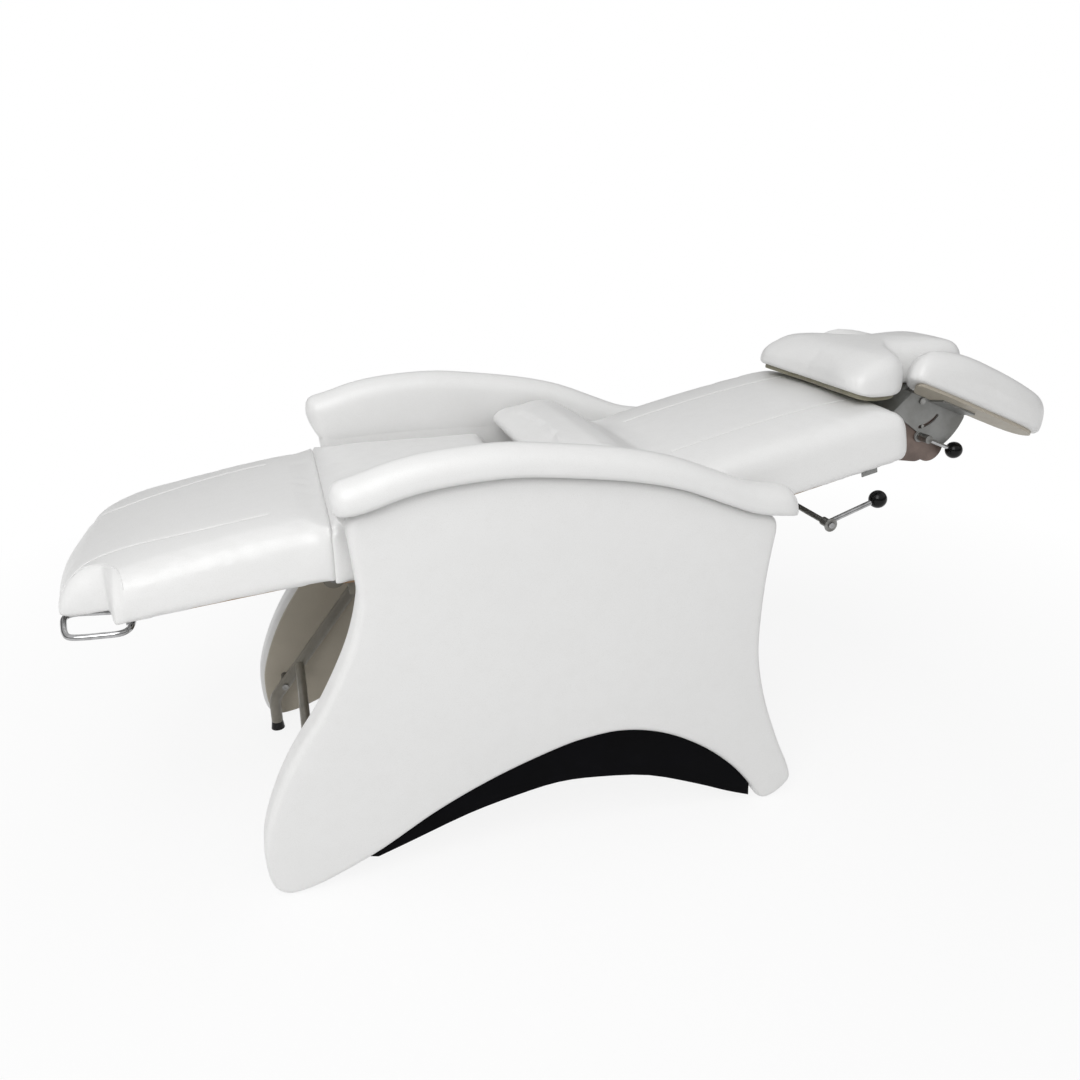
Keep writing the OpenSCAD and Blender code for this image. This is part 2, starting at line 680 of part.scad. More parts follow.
// Pull handle: a closed rod loop below the foot corner, on a strap screwed to the board
handle_x = 95;
handle_y = 70;
handle_r = 16;
handle_foot_x = 15;
handle_foot_y = 4;
handle_drop = 5;
strap_w = 22;
strap_t = 3;
strap_len = 120;
module rod_loop(lx, ly, r, d) {
    for (m = [0, 1]) mirror([m, 0, 0]) for (k = [0, 1]) mirror([0, k, 0]) {
        translate([0, ly / 2, 0]) rotate([0, 90, 0]) cylinder(h = lx / 2 - r, d = d, $fn = 32);
        translate([lx / 2, 0, 0]) rotate([-90, 0, 0]) cylinder(h = ly / 2 - r, d = d, $fn = 32);
        translate([lx / 2 - r, ly / 2 - r, 0]) rotate_extrude(angle = 90, $fn = 64)
            translate([r, 0]) circle(d = d, $fn = 32);
    }
}

x_handle = x_foot + handle_foot_x + handle_x / 2;
y_handle = -cushion_w / 2 + handle_foot_y + handle_y / 2;
module at_handle() {
    under_leg(x_knee - x_handle, y_handle, -handle_drop - handle_d / 2) children();
}

module pull_handle() {
    color([0.8, 0.8, 0.82]) union() {
        at_handle() rod_loop(handle_x - handle_d, handle_y - handle_d, handle_r, handle_d);
        at_handle() translate([handle_x / 2 - handle_d / 2, -strap_w / 2, -strap_t / 2])
            cube([(handle_d + strap_len) / 2, strap_w, strap_t]);
        at_handle() translate([handle_x / 2 + strap_len / 2, -strap_w / 2, -strap_t / 2])
            cube([strap_t, strap_w, handle_drop + handle_d / 2 + strap_t / 2]);
        at_handle() translate([handle_x / 2 + strap_len / 2, -strap_w / 2, handle_d / 2 + handle_drop - strap_t])
            cube([strap_len / 2, strap_w, strap_t]);
    }
}

module handle_screws() {
    color("silver") for (s = [0.68, 0.88]) at_handle() translate([handle_x / 2 + s * strap_len, 0,
        handle_d / 2 + handle_drop - strap_t]) screw_head(0, 0, 0);
}

// Head rest: pivot, neck plates on the back rails, cheeks on the head board
neck_rise = 74;
x_neck = x_back_end + neck_run;
z_neck = back_line(x_back_end) + neck_rise;
neck_pin_d = 10;
neck_eye_d = 24;
slot_r = 55;
slot_w = 7.5;
stop_pin_d = 7;
stop_angle = -78;
tilt_down = 36;
tilt_up = 3;
clamp_r = 76;
clamp_angle = -83;
clamp_d = 12;
clamp_lug_d = 24;
saddle_low = -50;
saddle_mid = -29;
cheek_r = 120;
y_cheek = cheek_w / 2 - plate_t;
y_neck = y_cheek - plate_gap - plate_t;
head_drop = 31;
z_head_board = z_neck + head_drop;

function polar(r, a) = [r * cos(a), r * sin(a)];
function arc_points(r, a0, a1, n) = [for (i = [0 : n]) polar(r, mix(a0, a1, i / n))];

// A curved slot's outline: the outer arc, a round end, the inner arc and the other round end
function slot_end(r, w, a, turn) = [for (i = [1 : 7]) polar(r, a) + polar(w / 2, a + turn + 180 * i / 8)];
module arc_slot(r, w, a0, a1) {
    polygon(concat(arc_points(r + w / 2, a0, a1, 16), slot_end(r, w, a1, 0),
        arc_points(r - w / 2, a1, a0, 16), slot_end(r, w, a0, 180)));
}

neck_lobe_r = 30;
neck_lobe_share = [0.08, -0.84];
neck_tail_x = 110;
neck_tail_z = 98;
neck_tail_len = 75;
module neck_shape() {
    hull() {
        circle(d = neck_eye_d, $fn = 32);
        translate([neck_lobe_share[0] * cheek_r, neck_lobe_share[1] * cheek_r])
            circle(r = neck_lobe_r, $fn = 32);
        translate([-neck_tail_x, -neck_tail_z]) circle(r = neck_lobe_r / 2, $fn = 32);
    }
    hull() {
        translate([back_board_x - x_neck, back_line(back_board_x) - z_neck]) rotate(back_slope)
            translate([back_board_len - neck_tail_len, -rail_a]) square([neck_tail_len, rail_a]);
        translate([-neck_tail_x, -neck_tail_z]) circle(r = neck_lobe_r / 2, $fn = 32);
    }
}

module neck_plates() {
    color([0.5, 0.45, 0.42]) both() difference() {
        plate(y_neck, y_neck + plate_t) translate([x_neck, z_neck]) neck_shape();
        along_y(x_neck, z_neck, neck_pin_d + 2 * pin_gap, y_neck - cut, y_neck + plate_t + cut);
    }
}

module neck_stop_pins() {
    p = polar(slot_r, stop_angle);
    color("silver") both() along_y(x_neck + p[0], z_neck + p[1], stop_pin_d, y_neck + plate_t,
        y_cheek + plate_t);
}

// Head bracket: two cheeks, a sloping web at the foot side and a flange under the board
slot_margin = asin((stop_pin_d / 2 + 0.4) / slot_r);
web_low = [-67, -19];
web_mid = [-26, 19];
web_high = [-13, 31];
cheek_top_run = 92;
cheek_end = [112, -36];
saddle_half_w = 88;
module cheek_shape() {
    polygon(concat([web_low, web_mid, cheek_end], [for (i = [0 : 12])
        polar(cheek_r, mix(-21, -58, i / 12))], [polar(cheek_r * 0.85, -66), polar(cheek_r * 0.5, -97)]));
    translate(polar(clamp_r, clamp_angle)) circle(d = clamp_lug_d, $fn = 64);
}

module saddle_plate(half_w, a, b) {
    plate(-half_w, half_w) translate([x_neck, z_neck]) polygon([a, b, b + [plate_t, 0], a + [plate_t, 0]]);
}

module head_bracket() {
    color([0.66, 0.68, 0.7]) difference() {
        union() {
            both() plate(y_cheek, y_cheek + plate_t) translate([x_neck, z_neck]) difference() {
                cheek_shape();
                arc_slot(slot_r, slot_w, stop_angle - tilt_up - slot_margin,
                    stop_angle + tilt_down + slot_margin);
            }
            saddle_plate(y_cheek, web_low, web_mid);
            saddle_plate(saddle_half_w, web_mid, web_high);
            saddle_plate(y_cheek, [cheek_top_run, saddle_low], [cheek_top_run, saddle_mid]);
            saddle_plate(saddle_half_w, [cheek_top_run, saddle_mid], [cheek_top_run, head_drop]);
            translate([x_neck + web_high[0], -saddle_half_w, z_head_board - plate_t])
                cube([cheek_top_run - web_high[0] + plate_t, 2 * saddle_half_w, plate_t]);
            both() at_wing() translate([wing_tab_u, wing_tab_v, -plate_t])
                cube([wing_tab_len, wing_tab_w, plate_t]);
        }
        both() along_y(x_neck, z_neck, neck_pin_d + 2 * pin_gap, y_cheek - cut, y_cheek + plate_t + cut);
        clamp = polar(clamp_r, clamp_angle);
        along_y(x_neck + clamp[0], z_neck + clamp[1], clamp_d + 2 * pin_gap, -y_cheek - plate_t - cut,
            cut - y_cheek);
    }
}

module head_pivot_bolts() {
    color("silver") both() {
        along_y(x_neck, z_neck, neck_pin_d, y_neck - plate_t, y_cheek + plate_t);
        along_y(x_neck, z_neck, neck_pin_d * 1.4, y_cheek + plate_t, y_cheek + 2 * plate_t);
        along_y(x_neck, z_neck, neck_pin_d * 1.7, y_neck - 2 * plate_t, y_neck - plate_t);
    }
}

// Head pad outline, half of it, as shares of the pad's length and width, from foot to crown
head_half_share = [[0.05, 0], [0.035, 0.17], [0.01, 0.32], [0.01, 0.42], [0.05, 0.485],
    [0.14, 0.5], [0.26, 0.49], [0.355, 0.43], [0.41, 0.34], [0.45, 0.26], [0.5, 0.232], [0.62, 0.234],
    [0.8, 0.236], [0.92, 0.21], [0.985, 0.14], [1, 0]];
head_half = smooth(stretch(head_half_share, head_len, head_w), 2);
head_outline = concat([for (i = [len(head_half) - 1 : -1 : 1]) [x_head + head_half[i][0],
    head_half[i][1]]], [for (i = [0 : len(head_half) - 2]) [x_head + head_half[i][0], -head_half[i][1]]]);
head_top_share = [[0, 0.42], [0.08, 0.64], [0.17, 0.84], [0.3, 0.9], [0.5, 0.94], [0.75, 0.99], [0.9, 0.95],
    [1, 0.84]];
head_top = smooth(stretch(head_top_share, head_len, head_t), 3);
head_edge_r = 26;
head_crown = 6;
head_chin = 14;
head_chin_run = 60;
function head_lo(x) = z_head_board + head_chin * pow(max(1 - (x - x_head) / head_chin_run, 0), 2);
function head_hi(x) = head_lo(x) + lookup(x - x_head, head_top);
module head_pad() {
    color("white") difference() {
        pad(head_outline, [x_head + head_len * 0.5, 0], head_edge_r, head_crown,
            function (x) head_lo(x), function (x) head_hi(x));
        head_board_solid(soft_gap);
    }
}

head_board_inset = 24;
module head_board_solid(grow) {
    translate([0, 0, z_head_board - grow]) linear_extrude(height = board_t + 2 * grow)
        polygon(inset(head_outline, head_board_inset - grow));
}

module head_board() {
    color([0.6, 0.57, 0.5]) head_board_solid(0);
}

module head_screws() {
    color("silver") both() for (s = [0.25, 0.75])
        screw_head(x_neck + s * cheek_top_run, saddle_half_w * 0.7, z_head_board - plate_t);
}

// Side wings: leaf-shaped pads that rise outward and drop toward the crown
wing_half_share = [[0.03, 0.72], [0.05, 0.93], [0.13, 1], [0.3, 1.02], [0.5, 1], [0.7, 0.98],
    [0.88, 0.91], [0.97, 0.74], [1, 0.5], [0.975, 0.22], [0.88, 0.05], [0.7, 0], [0.45, 0], [0.25, 0],
    [0.17, 0.04], [0.11, 0.24], [0.055, 0.5]];
wing_w = 98;
wing_roll = 12;
wing_edge_r = 28;
wing_crown = 5;
wing_board_t = 6;
wing_y = 103;
wing_rise = 41;
wing_tab_u = 118;
wing_tab_len = 90;
wing_tab_v = 15;
wing_tab_w = 36;
wing_board_inset = 15;
wing_top_share = [[0, 0.9], [0.12, 0.98], [0.3, 1], [0.6, 0.98], [0.85, 0.92], [1, 0.82]];
wing_top = smooth(stretch(wing_top_share, wing_len, wing_t), 3);
module at_wing() {
    translate([x_neck - wing_setback, wing_y, z_neck + wing_rise])
        rotate([0, wing_pitch, 0]) rotate([wing_roll, 0, 0]) children();
}

wing_curve = smooth(stretch(concat(wing_half_share, [wing_half_share[0]]), wing_len, wing_w), 2);
wing_outline = [for (i = [len(wing_curve) - 1 : -1 : 1]) wing_curve[i]];
module wing_right() {
    at_wing() pad(wing_outline, [wing_len * 0.5, wing_w * 0.5], wing_edge_r, wing_crown,
        function (x) wing_board_t + soft_gap, function (x) lookup(x, wing_top) - wing_crown);
}

module head_wing_right() {
    color("white") wing_right();
}

module head_wing_left() {
    color("white") mirror([0, 1, 0]) wing_right();
}

module wing_boards() {
    color([0.72, 0.68, 0.58]) both() at_wing() linear_extrude(height = wing_board_t)
        polygon(inset(wing_outline, wing_board_inset));
}

// Ball knob with a flat where the rod enters
module knob_at(x, y, z) {
    color([0.03, 0.03, 0.03]) translate([x, y, z]) sphere(d = knob_d, $fn = 64);
}

// Head clamp lever
head_lever_arm = 84;
head_lever_angle = -22;
head_rod_d = 8;
boss_d = 17;
boss_h = 24;
head_boss_h = 27;
x_clamp = x_neck + polar(clamp_r, clamp_angle)[0];
z_clamp = z_neck + polar(clamp_r, clamp_angle)[1];
y_head_boss = -cheek_w / 2 - head_boss_h - plate_gap;
module head_lever_shaft() {
    color([0.45, 0.45, 0.42]) difference() {
        union() {
            along_y(x_clamp, z_clamp, clamp_d, -cheek_w / 2 - plate_gap, -y_neck - plate_t - soft_gap);
            along_y(x_clamp, z_clamp, boss_d, y_head_boss, -cheek_w / 2 - plate_gap / 3);
        }
        lever_rod_solid(x_clamp, y_head_boss + head_boss_h / 2, z_clamp, head_rod_d, head_lever_arm,
            head_lever_angle, 0);
    }
}

module lever_rod_solid(x, y, z, d, arm, angle, trim) {
    translate([x, y, z]) rotate([0, 90 - angle, 0]) cylinder(h = arm - trim, d = d, $fn = 32);
}

module head_lever_rod() {
    color([0.8, 0.8, 0.82]) lever_rod_solid(x_clamp, y_head_boss + head_boss_h / 2, z_clamp, head_rod_d,
        head_lever_arm, head_lever_angle, knob_d / 4);
}

module ball_knob(x, y, z, d, arm, angle) {
    difference() {
        knob_at(x + arm * cos(angle), y, z + arm * sin(angle));
        lever_rod_solid(x, y, z, d, arm, angle, knob_d / 4);
    }
}

module head_lever_knob() {
    ball_knob(x_clamp, y_head_boss + head_boss_h / 2, z_clamp, head_rod_d, head_lever_arm, head_lever_angle);
}

// Recline lever on a cross shaft, hung below the back rails
lever_back_run = 151;
lever_drop = 87;
x_lever = x_back_end - lever_back_run;
z_lever = back_line(x_lever) - lever_drop;
shaft_d = 11;
lever_angle = 19;
y_lever_boss = -cushion_w / 2 + 6;
y_hanger = y_back_rail + plate_t / 2;
hanger_w = 36;
hanger_u = (x_lever - x_nose - back_board_start * back_len) / cos(back_slope) - hanger_w;
tab_w = 34;
tab_h = 17;
tab_y = 232;
tab_run = 66;
module edge_tabs() {
    color([0.5, 0.5, 0.48]) both() on_back(hanger_u + hanger_w + tab_run, tab_y, 0) {
        translate([0, 0, -plate_t / 2]) cube([tab_w, plate_t * 3, plate_t / 2]);
        translate([0, 0, -tab_h]) cube([tab_w, plate_t / 2, tab_h]);
    }
}

module lever_hanger() {
    color([0.55, 0.54, 0.5]) {
        for (s = [-1, 1]) difference() {
            hull() {
                along_y(x_lever, z_lever, 2.2 * shaft_d, s * y_hanger - plate_t / 2, s * y_hanger + plate_t / 2);
                on_back(hanger_u, s * y_hanger - plate_t / 2, -rail_a - plate_t)
                    cube([2 * hanger_w, plate_t, plate_t]);
            }
            along_y(x_lever, z_lever, shaft_d + 2 * pin_gap, s * y_hanger - plate_t, s * y_hanger + plate_t);
        }
    }
}

module recline_shaft() {
    color([0.45, 0.45, 0.4]) difference() {
        union() {
            along_y(x_lever, z_lever, shaft_d, y_lever_boss + boss_h, y_hanger + plate_t);
            along_y(x_lever, z_lever, boss_d, y_lever_boss, y_lever_boss + boss_h);
            along_y(x_lever, z_lever, 1.6 * shaft_d, y_hanger + plate_t / 2 + plate_gap / 3,
                y_hanger + plate_t * 2);
        }
        lever_rod_solid(x_lever, y_lever_boss + boss_h / 2, z_lever, lever_rod_d, lever_arm, lever_angle, 0);
    }
}

module recline_rod() {
    color([0.8, 0.8, 0.82]) lever_rod_solid(x_lever, y_lever_boss + boss_h / 2, z_lever, lever_rod_d,
        lever_arm, lever_angle, knob_d / 4);
}

module recline_knob() {
    ball_knob(x_lever, y_lever_boss + boss_h / 2, z_lever, lever_rod_d, lever_arm, lever_angle);
}

// Gas spring from the rear cross rail to the back
gas_d = 28;
gas_rod_d = 10;
gas_foot_run = 45;
gas_foot_drop = 70.5;
gas_foot_x = gas_rail_x + gas_foot_run;
gas_foot_z = z_rail - gas_foot_drop;
gas_eye_d = 26;
gas_vec = [gas_eye_x - gas_foot_x, gas_eye_z - gas_foot_z];
gas_len = norm(gas_vec);
gas_angle = atan2(gas_vec[1], gas_vec[0]);
gas_body_share = 0.72;
gas_pin_d = 10;
module along_gas(u) {
    translate([gas_foot_x, 0, gas_foot_z]) rotate([0, 90 - gas_angle, 0]) translate([0, 0, u]) children();
}

gas_lug_y = gas_eye_t / 2 + plate_gap / 3 + plate_t / 2;
module gas_spring_lug() {
    color([0.55, 0.54, 0.5]) for (s = [-1, 1]) difference() {
        hull() {
            along_y(gas_foot_x, gas_foot_z, gas_eye_d, s * gas_lug_y - plate_t / 2, s * gas_lug_y + plate_t / 2);
            translate([gas_rail_x, s * gas_lug_y - plate_t / 2, z_rail_bottom - plate_t])
                cube([rail_a, plate_t, plate_t]);
        }
        along_y(gas_foot_x, gas_foot_z, gas_pin_d + 2 * pin_gap, -2 * gas_lug_y, 2 * gas_lug_y);
    }
}

gas_fork_y = gas_eye_d * 0.4 + plate_gap / 2;
module gas_head_fork() {
    color([0.55, 0.54, 0.5]) for (s = [-1, 1]) {
        hull() {
            along_y(gas_eye_x, gas_eye_z, gas_eye_d, s * (gas_fork_y + plate_t / 2) - plate_t / 2,
                s * (gas_fork_y + plate_t / 2) + plate_t / 2);
            on_back(gas_cross_u, s * (gas_fork_y + plate_t / 2) - plate_t / 2, -rail_a - plate_t)
                cube([rail_a, plate_t, plate_t]);
        }
        along_y(gas_eye_x, gas_eye_z, gas_pin_d, s * (gas_fork_y + 1.5 * plate_t) - plate_t / 2,
            s * (gas_fork_y + 1.5 * plate_t) + plate_t / 2);
    }
}

module gas_pivot_pin() {
    color("silver") along_y(gas_foot_x, gas_foot_z, gas_pin_d, -gas_lug_y - plate_t, gas_lug_y + plate_t);
}

module gas_cylinder() {
    color([0.1, 0.1, 0.1]) difference() {
        union() {
            along_y(gas_foot_x, gas_foot_z, gas_eye_d, -gas_eye_t / 2, gas_eye_t / 2);
            along_gas(0) cylinder(h = gas_eye_d, d = gas_eye_t * 0.9, $fn = 48);
            along_gas(gas_eye_d * 0.7) cylinder(h = gas_len * gas_body_share, d = gas_d, $fn = 48);
        }
        along_y(gas_foot_x, gas_foot_z, gas_pin_d + 2 * pin_gap, -gas_eye_t, gas_eye_t);
        along_gas(gas_eye_d) cylinder(h = gas_len, d = gas_rod_d + 2 * pin_gap, $fn = 48);
    }
}

module gas_rod() {
    color([0.8, 0.8, 0.82]) along_gas(gas_eye_d * 1.15) cylinder(h = gas_len - gas_eye_d * 1.65,
        d = gas_rod_d, $fn = 48);
}

module gas_release_head() {
    color([0.45, 0.45, 0.45]) along_gas(gas_len - gas_eye_d / 2) cylinder(h = gas_eye_d, d = gas_eye_d * 0.8,
        $fn = 48);
}

side_panel_left();
side_panel_right();
armrest_left();
armrest_right();
inner_lining_left();
inner_lining_right();
plinth_board_left();
plinth_board_right();
front_legs();
rear_legs();
front_cross_tube();
rear_cross_tube();
seat_side_rails();
seat_cross_rails();
floor_glides();
panel_bolts();
seat_board();
seat_cushion();
seat_screws();
back_pivot_plates();
knee_lugs();
knee_pins();
gas_spring_lug();
leg_board();
leg_cushion();
leg_arms();
leg_screws();
pull_handle();
handle_screws();
back_board();
back_cushion();
back_rails();
back_cross_tubes();
back_pivot_arms();
back_pivot_bolts();
back_screws();
neck_plates();
neck_stop_pins();
lever_hanger();
edge_tabs();
gas_head_fork();
recline_shaft();
recline_rod();
recline_knob();
head_board();
head_pad();
head_wing_left();
head_wing_right();
wing_boards();
head_bracket();
head_pivot_bolts();
head_screws();
head_lever_shaft();
head_lever_rod();
head_lever_knob();
gas_cylinder();
gas_rod();
gas_release_head();
gas_pivot_pin();
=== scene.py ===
import json
import math

import bmesh
import bpy
import numpy as np
from mathutils import Matrix, Vector, noise
from mathutils.bvhtree import BVHTree
from mathutils.geometry import delaunay_2d_cdt


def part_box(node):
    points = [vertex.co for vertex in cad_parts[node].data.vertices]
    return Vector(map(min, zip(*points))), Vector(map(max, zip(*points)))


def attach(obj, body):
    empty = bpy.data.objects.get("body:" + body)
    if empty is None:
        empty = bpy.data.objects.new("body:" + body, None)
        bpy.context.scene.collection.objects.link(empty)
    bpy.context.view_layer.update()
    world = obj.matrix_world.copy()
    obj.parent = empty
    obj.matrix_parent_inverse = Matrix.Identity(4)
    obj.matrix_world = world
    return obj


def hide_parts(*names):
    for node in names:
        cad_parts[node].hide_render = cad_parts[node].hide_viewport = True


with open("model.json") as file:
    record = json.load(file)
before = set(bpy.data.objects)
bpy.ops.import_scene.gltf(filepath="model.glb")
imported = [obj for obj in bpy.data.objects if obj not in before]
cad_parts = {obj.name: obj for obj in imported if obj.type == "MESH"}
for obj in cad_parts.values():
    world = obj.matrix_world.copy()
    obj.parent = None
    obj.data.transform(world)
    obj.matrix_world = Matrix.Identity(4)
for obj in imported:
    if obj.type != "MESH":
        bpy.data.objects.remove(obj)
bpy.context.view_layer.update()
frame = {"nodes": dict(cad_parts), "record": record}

MM = 0.001


def add_object(name, data):
    obj = bpy.data.objects.new(name, data)
    bpy.context.scene.collection.objects.link(obj)
    return obj


# camera
cam_data = bpy.data.cameras.new("camera")
camera = add_object("camera", cam_data)
camera.location = (-0.5925, -1.6242, 1.1441)
camera.rotation_euler = (math.radians(68.648), 0.0, math.radians(-16.829))
cam_data.sensor_width = 36.0
cam_data.lens = 29.80
cam_data.clip_start = 0.05
cam_data.clip_end = 60.0
bpy.context.scene.camera = camera
bpy.context.scene.view_settings.view_transform = "Standard"

# sizes of the chair in mm, the same as in the part's source
leg_len = 439.0
cushion_gap = 5.0
seat_len = 370.0
back_gap = 12.0
back_len = 695.0
cushion_w = 509.0
y_half = cushion_w / 2
seat_h = 660.0
seat_t = 99.0
leg_t = 98.0
back_t = 97.0
back_slope = math.radians(12.5)
leg_slope = math.radians(5.8)
neck_run = 126.0
wing_setback = 91.0
wing_len = 382.0
wing_t = 97.0
wing_w = 98.0
wing_pitch = math.radians(21.5)
wing_roll = math.radians(12.0)
wing_tip_share = 0.1976  # of the wing's thickness, which its pitched far end adds to the length
overall_len = (leg_len + cushion_gap + seat_len + back_gap + back_len + neck_run - wing_setback
               + wing_len * math.cos(wing_pitch) + wing_t * wing_tip_share)
head_len = 362.0
head_w = 380.0
head_t = 80.0
panel_len = 1006.0
panel_h = 727.0
panel_t = 60.0
inner_w = 542.0
arm_w = 79.0
arm_t = 51.0

# places along the chair, from the foot end at -X to the head end, and across it
x_foot = -overall_len / 2
x_knee = x_foot + leg_len
x_seat = x_knee + cushion_gap
x_nose = x_seat + seat_len + back_gap
x_back_end = x_nose + back_len
x_neck = x_back_end + neck_run
x_head = x_back_end - 94.0
x_panel = x_knee - 157.0
y_inner = inner_w / 2
y_outer = y_inner + panel_t


# materials
def new_material(name):
    mat = bpy.data.materials.new(name)
    mat.use_nodes = True
    tree = mat.node_tree
    tree.nodes.clear()
    out = tree.nodes.new("ShaderNodeOutputMaterial")
    bsdf = tree.nodes.new("ShaderNodeBsdfPrincipled")
    tree.links.new(bsdf.outputs["BSDF"], out.inputs["Surface"])
    coords = tree.nodes.new("ShaderNodeTexCoord")
    return mat, tree, bsdf, coords.outputs["Object"]


def texture(tree, kind, vector, scale, **values):
    """The value of a texture node; values are its properties and, spaces for underscores, its inputs."""
    node = tree.nodes.new(kind)
    tree.links.new(vector, node.inputs["Vector"])
    node.inputs["Scale"].default_value = scale
    for key, value in values.items():
        if key in ("feature", "bands_direction"):
            setattr(node, key, value)
        else:
            node.inputs[key.replace("_", " ")].default_value = value
    return node.outputs["Distance" if kind == "ShaderNodeTexVoronoi" else "Fac"]


def remap(tree, value, from_min, from_max, to_min, to_max):
    node = tree.nodes.new("ShaderNodeMapRange")
    tree.links.new(value, node.inputs["Value"])
    for key, number in (("From Min", from_min), ("From Max", from_max),
                        ("To Min", to_min), ("To Max", to_max)):
        node.inputs[key].default_value = number
    return node.outputs["Result"]


def blend_colour(tree, factor, a, b):
    node = tree.nodes.new("ShaderNodeMix")
    node.data_type = "RGBA"
    tree.links.new(factor, node.inputs[0])
    for slot, colour in ((6, a), (7, b)):
        if isinstance(colour, tuple):
            node.inputs[slot].default_value = (*colour, 1.0)
        else:
            tree.links.new(colour, node.inputs[slot])
    return node.outputs[2]


def combined(tree, operation, a, b):
    node = tree.nodes.new("ShaderNodeMath")
    node.operation = operation
    tree.links.new(a, node.inputs[0])
    tree.links.new(b, node.inputs[1])
    return node.outputs[0]


def bump(tree, height, strength, distance, normal=None):
    node = tree.nodes.new("ShaderNodeBump")
    node.inputs["Strength"].default_value = strength
    node.inputs["Distance"].default_value = distance
    tree.links.new(height, node.inputs["Height"])
    if normal is not None:
        tree.links.new(normal, node.inputs["Normal"])
    return node.outputs["Normal"]


def connect(tree, bsdf, colour, rough, normal):
    tree.links.new(colour, bsdf.inputs["Base Color"])
    tree.links.new(rough, bsdf.inputs["Roughness"])
    tree.links.new(normal, bsdf.inputs["Normal"])


def leather(name, light, dark, rough=0.36, grain=620.0, depth=0.00022):
    """Upholstery leather: pebbled grain over soft large unevenness, a slight polish on the raised parts."""
    mat, tree, bsdf, at = new_material(name)
    cloud = texture(tree, "ShaderNodeTexNoise", at, 3.1, Detail=3.0, Roughness=0.5)
    mottle = texture(tree, "ShaderNodeTexNoise", at, 38.0, Detail=5.0, Roughness=0.62)
    cells = texture(tree, "ShaderNodeTexVoronoi", at, grain, feature="DISTANCE_TO_EDGE")
    pores = texture(tree, "ShaderNodeTexNoise", at, grain * 2.6, Detail=2.0)
    creases = texture(tree, "ShaderNodeTexNoise", at, 9.0, Detail=7.0, Roughness=0.66, Distortion=0.5)
    base = blend_colour(tree, remap(tree, cloud, 0.35, 0.65, 0.0, 1.0), light,
                        tuple(c * 0.985 for c in light))
    base = blend_colour(tree, remap(tree, mottle, 0.45, 0.85, 0.0, 0.10), base, dark)
    valley = remap(tree, cells, 0.0, 0.12, 0.30, 0.0)
    base = blend_colour(tree, valley, base, dark)
    fine = bump(tree, pores, 0.12, depth * 0.5)
    pebble = bump(tree, remap(tree, cells, 0.0, 0.28, 0.0, 1.0), 0.22, depth, fine)
    soft = bump(tree, creases, 0.10, 0.0018, pebble)
    connect(tree, bsdf, base, remap(tree, mottle, 0.3, 0.7, rough - 0.05, rough + 0.09), soft)
    bsdf.inputs["Coat Weight"].default_value = 0.12
    bsdf.inputs["Coat Roughness"].default_value = 0.30
    bsdf.inputs["IOR"].default_value = 1.48
    return mat


def painted(name, light, dark, rough=0.42, metallic=0.0, speck=260.0, depth=0.0001, coat=0.1, shine=0.5):
    """Powder-coated or lacquered metal: fine orange-peel, dust-dulled patches."""
    mat, tree, bsdf, at = new_material(name)
    cloud = texture(tree, "ShaderNodeTexNoise", at, 14.0, Detail=5.0, Roughness=0.6)
    peel = texture(tree, "ShaderNodeTexNoise", at, speck, Detail=3.0)
    base = blend_colour(tree, remap(tree, cloud, 0.38, 0.66, 0.0, 1.0), light, dark)
    connect(tree, bsdf, base, remap(tree, cloud, 0.3, 0.7, rough - 0.07, rough + 0.12),
            bump(tree, peel, 0.2, depth))
    bsdf.inputs["Metallic"].default_value = metallic
    bsdf.inputs["Specular IOR Level"].default_value = shine
    bsdf.inputs["Coat Weight"].default_value = coat
    bsdf.inputs["Coat Roughness"].default_value = 0.25
    return mat


def bright_metal(name, light, dark, rough=0.16, scratch=180.0):
    """Plated or polished steel with faint drawn scratches and a few dull smudges."""
    mat, tree, bsdf, at = new_material(name)
    smudge = texture(tree, "ShaderNodeTexNoise", at, 45.0, Detail=6.0, Roughness=0.6)
    lines = texture(tree, "ShaderNodeTexNoise", at, scratch, Detail=2.0, Distortion=1.4)
    base = blend_colour(tree, remap(tree, smudge, 0.42, 0.7, 0.0, 1.0), light, dark)
    connect(tree, bsdf, base, remap(tree, smudge, 0.3, 0.7, rough * 0.7, rough * 1.7),
            bump(tree, lines, 0.12, 0.00006))
    bsdf.inputs["Metallic"].default_value = 1.0
    return mat


def glossy_plastic(name, light, dark, rough=0.12):
    """Moulded black plastic: deep gloss with faint sink marks and dust."""
    mat, tree, bsdf, at = new_material(name)
    dust = texture(tree, "ShaderNodeTexNoise", at, 320.0, Detail=4.0, Roughness=0.7)
    swirl = texture(tree, "ShaderNodeTexNoise", at, 60.0, Detail=3.0)
    base = blend_colour(tree, remap(tree, dust, 0.6, 0.8, 0.0, 1.0), light, dark)
    connect(tree, bsdf, base, remap(tree, swirl, 0.35, 0.7, rough, rough + 0.16),
            bump(tree, swirl, 0.1, 0.0003))
    bsdf.inputs["Specular IOR Level"].default_value = 0.22
    return mat


